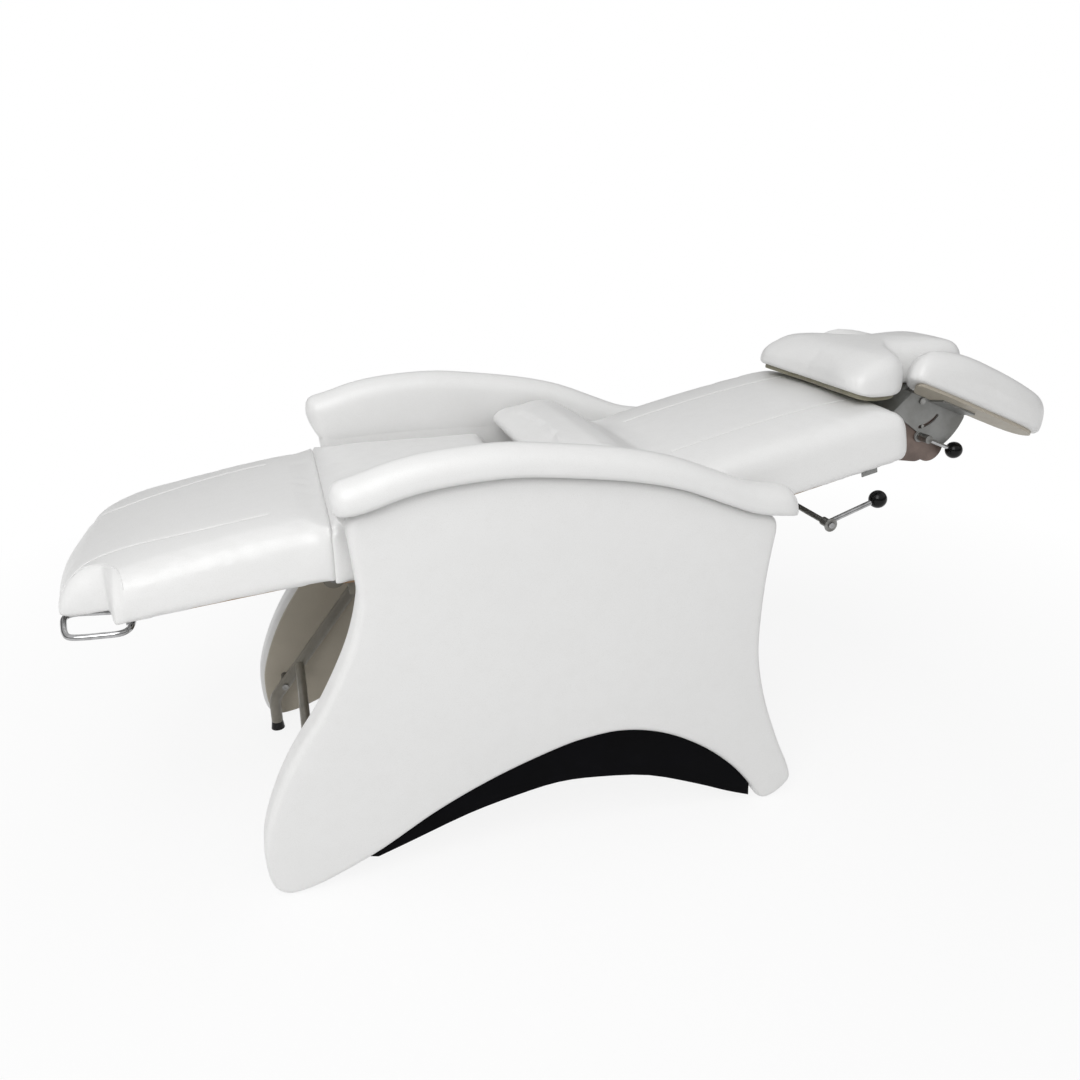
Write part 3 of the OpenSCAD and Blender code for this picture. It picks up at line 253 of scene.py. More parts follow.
def wood(name, light, dark):
    """Plywood: long grain along X with darker year rings and open pores."""
    mat, tree, bsdf, at = new_material(name)
    mapping = tree.nodes.new("ShaderNodeMapping")
    mapping.inputs["Scale"].default_value = (1.0, 9.0, 9.0)
    tree.links.new(at, mapping.inputs["Vector"])
    rings = texture(tree, "ShaderNodeTexWave", mapping.outputs["Vector"], 2.2, bands_direction="Y",
                    Distortion=6.0, Detail=4.0, Detail_Scale=1.3)
    fibre = texture(tree, "ShaderNodeTexNoise", mapping.outputs["Vector"], 60.0, Detail=6.0, Roughness=0.7)
    base = blend_colour(tree, rings, light, dark)
    base = blend_colour(tree, remap(tree, fibre, 0.45, 0.75, 0.0, 0.6), base, dark)
    connect(tree, bsdf, base, remap(tree, fibre, 0.3, 0.7, 0.5, 0.75), bump(tree, fibre, 0.3, 0.0002))
    return mat


def cloth(name, light, dark, weave=900.0):
    """Thin woven cover on the underside of the pads."""
    mat, tree, bsdf, at = new_material(name)
    across = texture(tree, "ShaderNodeTexWave", at, weave, bands_direction="X")
    along = texture(tree, "ShaderNodeTexWave", at, weave, bands_direction="Y")
    cloud = texture(tree, "ShaderNodeTexNoise", at, 20.0, Detail=5.0, Roughness=0.6)
    threads = combined(tree, "MULTIPLY", across, along)
    base = blend_colour(tree, remap(tree, cloud, 0.35, 0.68, 0.0, 1.0), light, dark)
    base = blend_colour(tree, remap(tree, threads, 0.0, 1.0, 0.25, 0.0), base, dark)
    connect(tree, bsdf, base, remap(tree, cloud, 0.3, 0.7, 0.7, 0.9), bump(tree, threads, 0.3, 0.0002))
    bsdf.inputs["Sheen Weight"].default_value = 0.15
    return mat


white = leather("white_leather", (0.80, 0.80, 0.795), (0.62, 0.61, 0.59))
taupe = leather("taupe_leather", (0.47, 0.43, 0.355), (0.28, 0.245, 0.19), rough=0.5)
black_board = painted("black_board", (0.0025, 0.0025, 0.003), (0.004, 0.004, 0.005), rough=0.7, speck=520.0,
                      coat=0.0, shine=0.04)
frame_paint = painted("frame_paint", (0.205, 0.19, 0.158), (0.15, 0.138, 0.112), rough=0.36)
grey_metal = painted("grey_metal", (0.27, 0.272, 0.265), (0.20, 0.20, 0.19), rough=0.42, metallic=0.25)
# the dark brown of brown_metal is painted shade: it stands for the shadow that falls on the neck plates
# behind the head rest's grey cheeks
brown_metal = painted("brown_metal", (0.19, 0.14, 0.118), (0.10, 0.075, 0.065), rough=0.4, metallic=0.3)
chrome = bright_metal("chrome", (0.45, 0.45, 0.455), (0.24, 0.24, 0.24), rough=0.09)
zinc = bright_metal("zinc_steel", (0.30, 0.30, 0.29), (0.17, 0.165, 0.155), rough=0.32)
black_plastic = glossy_plastic("black_plastic", (0.003, 0.003, 0.003), (0.010, 0.010, 0.010))
black_paint = painted("black_paint", (0.010, 0.010, 0.010), (0.018, 0.018, 0.018), rough=0.35, coat=0.0,
                      shine=0.3)
plywood = wood("plywood", (0.42, 0.29, 0.17), (0.27, 0.17, 0.09))
# the under cover's olive-beige is partly the cloth's own colour and partly painted shade from under the head
# pad
under_cover = cloth("under_cover", (0.30, 0.285, 0.215), (0.19, 0.175, 0.12))

by_slot = {"white_leather": white, "taupe_leather": taupe, "black_board": black_board,
           "frame_paint": frame_paint, "grey_metal": grey_metal, "brown_metal": brown_metal,
           "chrome": chrome, "zinc_steel": zinc, "black_plastic": black_plastic,
           "black_paint": black_paint, "plywood": plywood}
for row in frame["record"]["subparts"]:
    node = frame["nodes"][row["node"]]
    for slot in node.material_slots:
        slot.material = by_slot[row["material_slot"]]


# curves and outlines, in mm, as in the part's source
def mix(a, b, t):
    return a + (b - a) * t


def smooth(points, n):
    """A curve through given points, n steps between neighbours."""
    p = [np.array(q, float) for q in points]
    k = len(p) - 1
    out = []
    for i in range(k):
        p0, p1, p2, p3 = p[max(i - 1, 0)], p[i], p[i + 1], p[min(i + 2, k)]
        for j in range(n):
            t = j / n
            out.append((2 * p1 + (p2 - p0) * t + (2 * p0 - 5 * p1 + 4 * p2 - p3) * t * t
                        + (3 * p1 - p0 - 3 * p2 + p3) * t ** 3) / 2)
    return np.array(out + [p[k]])


def inset(outline, d):
    """Moves a closed anticlockwise outline inward by d."""
    p = np.asarray(outline, float)
    ahead = np.roll(p, -1, 0) - p
    behind = p - np.roll(p, 1, 0)
    ahead /= np.maximum(np.linalg.norm(ahead, axis=1, keepdims=True), 1e-6)
    behind /= np.maximum(np.linalg.norm(behind, axis=1, keepdims=True), 1e-6)
    t = ahead + behind
    t /= np.maximum(np.linalg.norm(t, axis=1, keepdims=True), 1e-6)
    return p - np.stack([t[:, 1], -t[:, 0]], 1) * d


def arc(cx, cy, r, a0, a1, n):
    a = np.radians(np.linspace(a0, a1, n + 1))
    return np.stack([cx + r * np.cos(a), cy + r * np.sin(a)], 1)


def edge(a, b, n, draw):
    """The points between a and b on a side that is drawn in by the given amount at its middle."""
    d = (b - a) / np.linalg.norm(b - a)
    t = (np.arange(1, n) / n)[:, None]
    return a + (b - a) * t + np.array([-d[1], d[0]]) * draw * np.sin(math.pi * t)


def pad_outline(x0, x1, w, r0, r1, draw, n, m, bow=0.0):
    """A pad's plan: r0 and r1 round its corners in n steps, its long sides have m steps and are drawn in."""
    h = w / 2
    a = arc(x0 + r0, -h + r0, r0, 180, 270, n)
    b = arc(x1 - r1, -h + r1, r1, 270, 360, n)
    c = arc(x1 - r1, h - r1, r1, 0, 90, n)
    d = arc(x0 + r0, h - r0, r0, 90, 180, n)
    return np.concatenate([a, edge(a[-1], b[0], m, draw), b, edge(b[-1], c[0], m // 2, 0), c,
                           edge(c[-1], d[0], m, draw), d, edge(d[-1], a[0], m // 2, -bow)])


# from underside to top: the share of the height, and the share of the edge radius that the side stands in
LEVELS = smooth([(0, 0.2), (0.1, 0.03), (0.3, 0), (0.56, 0.05), (0.78, 0.24), (0.92, 0.55), (1, 1)], 3)
UNDER_SHARES = (0.25, 0.5, 0.72, 0.88)
TOP_SHARES = (0.93, 0.85, 0.75, 0.64, 0.52, 0.4, 0.28, 0.15)


def pad_rings(outline, middle, edge_r, crown, lo, hi, soft=None, square=False):
    """Rings of points from the middle of a pad's underside, round its side, to the middle of its top.
    soft gives each outline point's own share of the edge radius; a square pad's crown has no hips."""
    middle = np.asarray(middle, float)
    if soft is not None:
        edge_r = (edge_r * soft(outline[:, 0]))[:, None]
    under = inset(outline, edge_r * LEVELS[0][1])
    inner = inset(outline, edge_r)

    def ring(xy, z):
        return np.column_stack([xy, z])

    rings = []
    for s in UNDER_SHARES:
        xy = middle + (under - middle) * s
        rings.append(ring(xy, lo(xy[:, 0])))
    for u, r in LEVELS:
        xy = inset(outline, edge_r * r)
        rings.append(ring(xy, mix(lo(xy[:, 0]), hi(xy[:, 0]), u)))
    for s in TOP_SHARES:
        xy = middle + (inner - middle) * s
        rise = 1 - s * s
        if square:
            reach = np.abs(inner - middle).max(0)
            rise = np.prod(1 - np.clip(np.abs(xy - middle) / reach, 0, 1) ** 2.4, axis=1)
        rings.append(ring(xy, hi(xy[:, 0]) + crown * rise))
    first = np.array([middle[0], middle[1], lo(middle[:1])[0]])
    last = np.array([middle[0], middle[1], hi(middle[:1])[0] + crown])
    return rings, first, last


def shade_smooth(mesh):
    mesh.polygons.foreach_set("use_smooth", [True] * len(mesh.polygons))


def solid(name, points, faces):
    """A closed mesh from points in mm, with its faces turned outward and no loose points."""
    mesh = bpy.data.meshes.new(name)
    mesh.from_pydata((np.asarray(points) * MM).tolist(), [], faces)
    bm = bmesh.new()
    bm.from_mesh(mesh)
    loose = [v for v in bm.verts if not v.link_faces]
    bmesh.ops.delete(bm, geom=loose, context="VERTS")
    bmesh.ops.recalc_face_normals(bm, faces=bm.faces[:])
    bm.to_mesh(mesh)
    bm.free()
    return add_object(name, mesh)


def walls(n, rows):
    """Faces between rows of n points each, every row a closed loop."""
    return [(j * n + i, j * n + (i + 1) % n, (j + 1) * n + (i + 1) % n, (j + 1) * n + i)
            for j in range(rows - 1) for i in range(n)]


def ring_mesh(name, rings, first, last, move=None):
    """A closed mesh over equal rings with a fan at both ends."""
    n = len(rings[0])
    points = np.concatenate(list(rings) + [first[None], last[None]])
    if move is not None:
        points = move(points)
    k = len(rings) * n
    top = k - n
    faces = walls(n, len(rings))
    faces += [((i + 1) % n, i, k) for i in range(n)]
    faces += [(top + i, top + (i + 1) % n, k + 1) for i in range(n)]
    obj = solid(name, points, faces)
    shade_smooth(obj.data)
    return obj


def coordinates(obj):
    data = np.empty(len(obj.data.vertices) * 3)
    obj.data.vertices.foreach_get("co", data)
    return data.reshape(-1, 3)


def set_coordinates(obj, points):
    obj.data.vertices.foreach_set("co", np.ascontiguousarray(points).ravel())
    obj.data.update()


def vertex_normals(obj):
    data = np.empty(len(obj.data.vertices) * 3)
    obj.data.vertices.foreach_get("normal", data)
    return data.reshape(-1, 3)


def apply_modifiers(obj):
    depsgraph = bpy.context.evaluated_depsgraph_get()
    mesh = bpy.data.meshes.new_from_object(obj.evaluated_get(depsgraph))
    old = obj.data
    obj.modifiers.clear()
    obj.data = mesh
    bpy.data.meshes.remove(old)
    shade_smooth(mesh)


CLOTH_FRAMES = 20


def puff(obj, voxel, cap, hold):
    """Fills a pad: voxel remesh, then cloth under pressure, each point moved by at most cap (mm).
    hold gives the share of its move that each point keeps."""
    mod = obj.modifiers.new("remesh", "REMESH")
    mod.mode = "VOXEL"
    mod.voxel_size = voxel * MM
    mod.use_smooth_shade = True
    apply_modifiers(obj)
    before = coordinates(obj).copy()
    mod = obj.modifiers.new("cloth", "CLOTH")
    settings = mod.settings
    settings.quality = 4
    settings.mass = 0.3
    settings.use_pressure = True
    settings.uniform_pressure_force = 4.0
    settings.tension_stiffness = 15.0
    settings.compression_stiffness = 15.0
    settings.shear_stiffness = 8.0
    settings.bending_stiffness = 1.5
    settings.effector_weights.gravity = 0.0
    scene = bpy.context.scene
    for step in range(1, CLOTH_FRAMES + 1):
        scene.frame_set(step)
    depsgraph = bpy.context.evaluated_depsgraph_get()
    done = obj.evaluated_get(depsgraph)
    after = np.empty(len(before) * 3)
    done.data.vertices.foreach_get("co", after)
    after = after.reshape(-1, 3)
    obj.modifiers.clear()
    scene.frame_set(1)
    shift = after - before
    size = np.linalg.norm(shift, axis=1, keepdims=True)
    shift *= np.minimum(1.0, cap * MM / np.maximum(size, 1e-9))
    set_coordinates(obj, before + shift * hold(before)[:, None])
    mod = obj.modifiers.new("subdivide", "SUBSURF")
    mod.levels = 1
    mod.render_levels = 1
    apply_modifiers(obj)


def tidy_surface(obj, rounds, share=0.5):
    """Evens out a mesh by moving each point part of the way to its neighbours' mean."""
    edges = np.empty(len(obj.data.edges) * 2, dtype=np.int64)
    obj.data.edges.foreach_get("vertices", edges)
    edges = edges.reshape(-1, 2)
    p = coordinates(obj)
    count = np.zeros(len(p))
    np.add.at(count, edges[:, 0], 1)
    np.add.at(count, edges[:, 1], 1)
    for _ in range(rounds):
        total = np.zeros_like(p)
        np.add.at(total, edges[:, 0], p[edges[:, 1]])
        np.add.at(total, edges[:, 1], p[edges[:, 0]])
        p = p + (total / count[:, None] - p) * share
    set_coordinates(obj, p)


def tree_of(obj):
    return BVHTree.FromObject(obj, bpy.context.evaluated_depsgraph_get())


RAY_START = 0.6  # m above the points that are dropped on a surface


def on_surface(tree, points, direction):
    """Drops points (m) on a surface along a direction; returns places and normals."""
    places, normals = [], []
    d = Vector(direction).normalized()
    for q in points:
        hit, normal, _, _ = tree.ray_cast(Vector(q) - d * RAY_START, d)
        if hit is not None:
            places.append(np.array(hit))
            normals.append(np.array(normal))
    return np.array(places), np.array(normals)


def seam(obj, name, line, body, mat, depth=0.9, width=3.4, bead=0.75):
    """Presses a sewn seam into a cover's top along a line, then lays a fine bead and stitches in it."""
    down = (0, 0, -1)
    path = on_surface(tree_of(obj), line, down)[0]
    p, n = coordinates(obj), vertex_normals(obj)
    low, high = path.min(0) - 0.02, path.max(0) + 0.02
    near = np.where(np.all((p > low) & (p < high), axis=1))[0]
    nearest = np.full(len(near), 1e9)
    for a in range(0, len(path), 64):
        block = path[a:a + 64]
        gap = np.linalg.norm(p[near][:, None] - block[None], axis=2).min(1)
        nearest = np.minimum(nearest, gap)
    side = np.exp(-(nearest / (width * MM)) ** 2)
    p[near] -= n[near] * (side * depth * MM)[:, None]
    set_coordinates(obj, p)
    path, normals = on_surface(tree_of(obj), line, down)
    tube(name + "_bead", path + normals * 0.25 * MM, bead * MM, body, mat)
    stitches(name + "_stitches", path, normals, body, mat)


def seam_pair(cover, name, line, z_above, body, mat):
    """The same seam on both sides of a cover: the line's points are x and the distance from the middle."""
    for side, mark in ((-1, "right"), (1, "left")):
        points = np.column_stack([line[:, 0], line[:, 1] * side, np.full(len(line), z_above)])
        seam(cover, name + "_" + mark, points * MM, body, mat)


def tube(name, points, radius, body, mat, closed=False, resolution=2):
    """A round strand along points (m)."""
    curve = bpy.data.curves.new(name, "CURVE")
    curve.dimensions = "3D"
    spline = curve.splines.new("POLY")
    spline.points.add(len(points) - 1)
    spline.points.foreach_set("co", np.column_stack([points, np.ones(len(points))]).ravel())
    spline.use_cyclic_u = closed
    curve.bevel_depth = radius
    curve.bevel_resolution = resolution
    curve.use_fill_caps = True
    strand = add_object(name, curve)
    depsgraph = bpy.context.evaluated_depsgraph_get()
    mesh = bpy.data.meshes.new_from_object(strand.evaluated_get(depsgraph))
    bpy.data.objects.remove(strand)
    mesh.materials.clear()
    mesh.materials.append(mat)
    shade_smooth(mesh)
    obj = add_object(name, mesh)
    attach(obj, body)
    return obj


def stitches(name, path, normals, body, mat, offset=2.3, pitch=4.6, length=3.1, r=0.32):
    """Two rows of short thread stitches beside a seam, sizes in mm."""
    run = np.concatenate([[0], np.cumsum(np.linalg.norm(np.diff(path, axis=0), axis=1))])
    bm = bmesh.new()
    count = int(run[-1] / (pitch * MM))
    for i in range(count):
        at = (i + 0.5) * pitch * MM
        q = np.array([np.interp(at, run, path[:, c]) for c in range(3)])
        nrm = np.array([np.interp(at, run, normals[:, c]) for c in range(3)])
        nrm /= np.linalg.norm(nrm)
        ahead = np.array([np.interp(at + MM, run, path[:, c]) for c in range(3)]) - q
        if np.linalg.norm(ahead) < 1e-9:
            continue
        ahead /= np.linalg.norm(ahead)
        cross = np.cross(nrm, ahead)
        for s in (-1, 1):
            place = Matrix((ahead, cross, nrm)).transposed().to_4x4()
            place.translation = Vector(q + cross * s * offset * MM + nrm * 0.1 * MM)
            scale = Matrix.Diagonal((length / 2 * MM, r * MM, r * MM, 1.0))
            bmesh.ops.create_icosphere(bm, subdivisions=1, radius=1.0, matrix=place @ scale)
    mesh = bpy.data.meshes.new(name)
    bm.to_mesh(mesh)
    bm.free()
    shade_smooth(mesh)
    mesh.materials.append(mat)
    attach(add_object(name, mesh), body)


def finish_pad(obj, slot, body, nodes):
    """Gives a padded cover its material and body, and hides the solids it stands for."""
    obj.data.materials.clear()
    obj.data.materials.append(by_slot[slot])
    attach(obj, body)
    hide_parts(*nodes)


def mirrored(obj, name):
    """The same piece on the other side of the chair."""
    mesh = obj.data.copy()
    other = add_object(name, mesh)
    p = coordinates(other)
    p[:, 1] *= -1
    set_coordinates(other, p)
    bm = bmesh.new()
    bm.from_mesh(mesh)
    bmesh.ops.reverse_faces(bm, faces=bm.faces[:])
    bm.to_mesh(mesh)
    bm.free()
    return other


# cushions
joint_lap = 4.0        # how far seat and leg rest reach over their joint, which closes it
joint_corner = 1.5     # corner radius there
joint_edge = 0.035     # share of the edge radius there
joint_run = 26.0       # over which the edge grows to its full radius
joint_hold = 40.0      # over which the filling's push grows
hold_rise = 34.0       # the same, upward from a cover's lower edge


def profile(points, length, height, n=4):
    """A height over x, through points given as shares of a length and a height."""
    curve = smooth([(a * length, b * height) for a, b in points], n)
    return lambda x: np.interp(x, curve[:, 0], curve[:, 1])


def shoulder(points, y_seam, drop, low, high):
    """Lets the top fall away between the seam and the side; the fall fades toward the underside."""
    p = points.copy()
    out = np.clip((np.abs(p[:, 1]) - y_seam) / (y_half - y_seam), 0, 1.2)
    share = np.clip((p[:, 2] - low(p[:, 0])) / (high(p[:, 0]) - low(p[:, 0])), 0, 1)
    p[:, 2] -= drop * out ** 1.7 * share ** 1.5
    return p


def near_end(x_end):
    """Share of the edge radius: crisp at a cushion's end that meets its neighbour, full further in."""
    return lambda x: np.interp(np.abs(x - x_end), [0.0, joint_lap, joint_run, joint_run + 1],
                               [joint_edge, joint_edge, 1.0, 1.0])


def held(low, x_end=None):
    """Keeps the filling from lifting a cover's lower edge or pushing a cushion's end into its neighbour."""
    def share(p):
        x, z = p[:, 0] / MM, p[:, 2] / MM
        kept = np.clip((z - low(x)) / hold_rise - 0.25, 0, 1)
        if x_end is not None:
            kept *= np.clip(np.abs(x - x_end) / joint_hold - 0.1, 0, 1)
        return kept
    return share


# seat
seat_skirt = 16.0      # how far the cover reaches down over the board's edge
seat_edge_drop = 9.0   # from the crown down to the top's edge
seat_front_drop = 5.0
seat_front_run = 80.0


def seat_lo(x):
    return np.full_like(x, seat_h - seat_t - seat_skirt)


def seat_hi(x):
    front = np.clip((x - x_seat) / seat_front_run, 0, 1)
    return seat_h - seat_edge_drop - seat_front_drop * (1 - front) ** 2


seat_cover = ring_mesh("seat_cover", *pad_rings(
    pad_outline(x_seat - joint_lap, x_seat + seat_len, cushion_w, joint_corner, 22, 4, 7, 30),
    (x_seat + seat_len / 2, 0), 26, 9, seat_lo, seat_hi, near_end(x_seat - joint_lap), True))
puff(seat_cover, 7.0, 5.0, held(seat_lo, x_seat))
finish_pad(seat_cover, "white_leather", "base", ["seat_cushion"])

# leg rest
z_leg_knee = seat_h - 107.0
leg_hem = 2.5          # how far its cover reaches below the cushion
foot_inset = 8.0
foot_corner = 104.0    # corner radius at the foot end


def leg_lo(x):
    return z_leg_knee - (x_knee - x) * math.tan(leg_slope)


leg_thick = profile([(0, 0.45), (0.09, 0.575), (0.25, 0.7), (0.38, 0.765), (0.55, 0.84), (0.71, 0.9),
                     (0.85, 0.935), (1, 0.95)], leg_len, leg_t)


def leg_hi(x):
    return leg_lo(x) + leg_thick(x - x_foot)


leg_cover = ring_mesh("leg_cover", *pad_rings(
    pad_outline(x_foot + foot_inset, x_knee + joint_lap, cushion_w, foot_corner, joint_corner, 4, 14, 32, 16),
    (x_foot + leg_len / 2, 0), 30, 9, lambda x: leg_lo(x) - leg_hem, leg_hi,
    near_end(x_knee + joint_lap), True), move=lambda p: shoulder(p, 140, 3.5, leg_lo, leg_hi))
puff(leg_cover, 6.0, 4.0, held(leg_lo, x_knee))

# the grip pocket at the near foot corner
scoop_mid = 48.0       # from the foot end to where the pocket's rim starts to turn
scoop_run = 74.0       # from there to the rim's end at the side
scoop_reach = 106.0    # from the near side to the rim
scoop_lip = 72.0       # from the near side to the low lip
scoop_low = 0.38       # share of the cushion's height that is left at the lip
scoop_fade = (107.0, 24.0)  # where the lip's setback ends, and over what length


def scoop_edge(x):
    """How far in from the near side the pocket's rim lies, x counted from the foot end."""
    return scoop_reach * np.sqrt(np.clip(1 - (np.maximum(x - scoop_mid, 0) / scoop_run) ** 2, 0, 1))


def press_scoop(obj):
    """Sets the near foot corner back and rolls its top down to a low lip, where a hand goes in."""
    p = coordinates(obj) / MM
    x, u = p[:, 0] - x_foot, p[:, 1] + y_half
    rim_u = scoop_edge(x)
    inside = np.where((u < rim_u - 0.01) & (x < scoop_mid + scoop_run))[0]
    x, u, rim_u = x[inside], u[inside], rim_u[inside]
    corner = np.maximum(foot_inset + foot_corner - x, 0)
    start = foot_corner - np.sqrt(np.maximum(foot_corner ** 2 - corner ** 2 * 0.94, 0))
    start = np.minimum(start, rim_u - 1)
    fade = np.clip((scoop_fade[0] - x) / scoop_fade[1], 0, 1)
    lip = np.minimum(np.maximum(start, scoop_lip * fade * fade * (3 - 2 * fade)), rim_u - 0.5)
    share = np.clip((u - start) / (rim_u - start), 0, 1)
    out = 1 - share
    fall = (1 - scoop_low) * (rim_u / scoop_reach) ** 0.5 * (1 - np.sqrt(np.clip(1 - out ** 2, 0, 1)))
    low = leg_lo(p[inside, 0]) - leg_hem
    p[inside, 2] = low + (p[inside, 2] - low) * (1 - fall)
    p[inside, 1] = lip + (rim_u - lip) * share - y_half
    set_coordinates(obj, p * MM)


press_scoop(leg_cover)
rim_turn = np.radians(np.linspace(4, 96, 60))
rim_line = np.column_stack([x_foot + scoop_mid + scoop_run * np.cos(rim_turn),
                            scoop_reach * np.sin(rim_turn) - y_half - 1,
                            np.full(len(rim_turn), leg_hi(x_foot + 90))]) * MM
rim = on_surface(tree_of(leg_cover), rim_line, (0.0, 0.45, -0.9))[0]
finish_pad(leg_cover, "white_leather", "legrest", ["leg_cushion"])
tube("scoop_welt", rim, 1.3 * MM, "legrest", white)
leg_seam = smooth([(18, 158), (34, 142), (59, 128), (90, 124), (155, 132), (235, 146), (315, 151),
                   (345, 151)], 16)
seam_pair(leg_cover, "leg_seam", leg_seam + (x_foot, 0), 600.0, "legrest", white)

# the hand-bent pull loop hangs level; its strap is screwed under the leg board
z_loop = 503.5
loop_rod = 5.0         # radius of the rod
loop_line = smooth([(30, 93.5), (60, 88), (88, 82), (106, 70), (117, 50), (119, 30), (116, 8), (104, -3.5),
                    (78, -3), (50, -0.5), (31, 6), (22, 24), (16, 50), (12, 76), (17, 90),
                    (30, 93.5)], 6)[:-1]
loop_points = np.column_stack([loop_line[:, 0] + x_foot + 3, loop_line[:, 1] - y_half + 9,
                               np.full(len(loop_line), z_loop)])
pull_loop = tube("pull_loop", loop_points * MM, loop_rod * MM, "legrest", chrome, closed=True, resolution=6)
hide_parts("pull_handle")


def eased(obj, width, body, mat):
    """A flat metal part: its material and body, and a small bevel on its edges."""
    obj.data.materials.append(mat)
    mod = obj.modifiers.new("bevel", "BEVEL")
    mod.width = width * MM
    mod.segments = 2
    mod.limit_method = "ANGLE"
    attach(obj, body)


def strip(name, line, y0, y1, thick, body, mat):
    """A bent flat strip: a line of (x, z) points, given a thickness and a width along Y."""
    line = np.array(line, float)
    ahead = np.gradient(line, axis=0)
    ahead /= np.linalg.norm(ahead, axis=1, keepdims=True)
    off = np.stack([-ahead[:, 1], ahead[:, 0]], 1) * thick / 2
    loop = np.concatenate([line + off, (line - off)[::-1]])
    n = len(loop)
    faces = walls(n, 2)
    for a, turn in ((0, 1), (n, -1)):
        faces += [(a + i, a + n - 1 - i, a + n - 2 - i, a + i + 1)[::turn] for i in range(len(line) - 1)]
    obj = solid(name, [(x, y, z) for y in (y0, y1) for x, z in loop], faces)
    eased(obj, thick * 0.2, body, mat)
    return obj


def upright_plate(name, outline, y0, y1, body, mat):
    """A flat steel plate standing in the X-Z plane."""
    n = len(outline)
    faces = walls(n, 2) + [tuple(range(n))[::-1], tuple(range(n, 2 * n))]
    eased(solid(name, [(x, y, z) for y in (y0, y1) for x, z in outline], faces), 0.6, body, mat)


strap_y = -210.0
strap_half = 9.0
strap_t = 3.0
z_strap = leg_lo(x_foot + 140.0) - 2.0
pull_strap = strip("pull_strap", [(x_foot + 113, z_loop), (x_foot + 121, z_loop), (x_foot + 126, z_loop + 3),
                                  (x_foot + 127.5, z_strap - 4), (x_foot + 131, z_strap - 0.6),
                                  (x_foot + 150, z_strap + 1.4)],
                   strap_y - strap_half, strap_y + strap_half, strap_t, "legrest", chrome)
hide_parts("pull_handle")

# back
z_back0 = seat_h - 146.0
nose_len = 120.0       # length of the thick roll at its lower end
back_hem = 2.0


def back_line(x):
    return z_back0 + (x - x_nose) * math.tan(back_slope)


back_top = profile([(0, 1.87), (0.037, 1.96), (0.09, 1.93), (0.15, 1.87), (0.2, 1.69), (0.25, 1.36),
                    (0.3, 1.07), (0.34, 1.0), (0.4, 1.01), (0.5, 1.03), (0.7, 1.04), (0.86, 1.015),
                    (0.95, 0.965), (1, 0.88)], back_len, back_t)
back_under = profile([(0, 1.66), (0.074, 1.1), (0.156, 0.55), (0.216, 0.22), (0.275, 0), (0.4, 0), (1, 0)],
                     back_len, back_t, 1)


def back_hi(x):
    return back_line(x) + back_top(x - x_nose)


def back_lo(x):
    return back_line(x) + back_under(x - x_nose)


def nose_edge(x):
    """The nose roll and the part beside the hip bolts have crisper upper edges than the flat stretch."""
    return np.interp(x - x_nose, [0.0, 150.0, 230.0], [0.55, 0.55, 1.0])


back_cover = ring_mesh("back_cover", *pad_rings(
    pad_outline(x_nose, x_back_end + 12, cushion_w, 26, 34, 4, 10, 52), (x_nose + back_len / 2, 0), 24, 10,
    lambda x: back_lo(x) - back_hem * np.clip((x - x_nose) / nose_len - 1, 0, 1), back_hi, nose_edge, True),
    move=lambda p: shoulder(p, 125, 4, back_lo, back_hi))
puff(back_cover, 7.5, 5.0, held(back_lo))
finish_pad(back_cover, "white_leather", "backrest", ["back_cushion"])
back_seam = np.column_stack([np.linspace(x_nose + 262, x_back_end - 30, 90), np.full(90, 122.0)])
seam_pair(back_cover, "back_seam", back_seam, 820.0, "backrest", white)


# head rest
z_neck = back_line(x_back_end) + 74.0
z_head_board = z_neck + 31.0
head_top = profile([(0, 0.42), (0.08, 0.64), (0.17, 0.84), (0.3, 0.9), (0.5, 0.94), (0.75, 0.99), (0.9, 0.95),
                    (1, 0.84)], head_len, head_t)


def head_lo(x):
    return z_head_board + 14 * np.maximum(1 - (x - x_head) / 60, 0) ** 2


def head_hi(x):
    return head_lo(x) + head_top(x - x_head)


head_half = smooth([(a * head_len, b * head_w) for a, b in (
    (0.05, 0), (0.035, 0.17), (0.01, 0.32), (0.01, 0.42), (0.05, 0.485), (0.14, 0.5), (0.26, 0.49),
    (0.355, 0.43), (0.41, 0.34), (0.45, 0.26), (0.5, 0.232), (0.62, 0.234), (0.8, 0.236), (0.92, 0.21),
    (0.985, 0.14), (1, 0))], 5)
head_outline = np.concatenate([head_half[:0:-1], head_half[:-1] * (1, -1)]) + (x_head, 0)
head_cover = ring_mesh("head_cover", *pad_rings(head_outline, (x_head + head_len / 2, 0), 26, 6,
                                                head_lo, head_hi))
puff(head_cover, 5.0, 4.0, held(head_lo))
finish_pad(head_cover, "white_leather", "headrest", ["head_pad"])

# a cloth cover under the head pad; its dark olive-beige is partly painted shade of the pad's underside
under_head = ring_mesh("head_under_cover", *pad_rings(
    inset(head_outline, 13), (x_head + head_len / 2, 0), 4, 0,
    lambda x: head_lo(x) - 8, lambda x: head_lo(x) + 3))
under_head.data.materials.append(under_cover)
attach(under_head, "headrest")

# covers over the neck plates, which leave room for the turning head bracket; their dark brown is painted
# shade, the shadow behind the cheeks
plate_face = 111.3
plate_back = 107.7
lobe = arc(x_neck + 42, z_neck - 100, 33, -120, 20, 22)
back_of_slot = np.array([(69, -70), (62, -50), (50, -28), (30, -8)]) + (x_neck, z_neck)
eye = arc(x_neck, z_neck, 13, 60, 176, 12)
room_for_web = np.array([(-22, -28), (-26, -60), (-42, -80), (-72, -84)]) + (x_neck, z_neck)
tail = arc(x_neck - 108, z_neck - 96, 17, 118, 262, 10)
plate_outline = np.concatenate([lobe, back_of_slot, eye, room_for_web, tail])
for side, mark in ((-1, "right"), (1, "left")):
    upright_plate("neck_cover_" + mark, plate_outline, side * plate_back, side * plate_face, "backrest",
                  brown_metal)

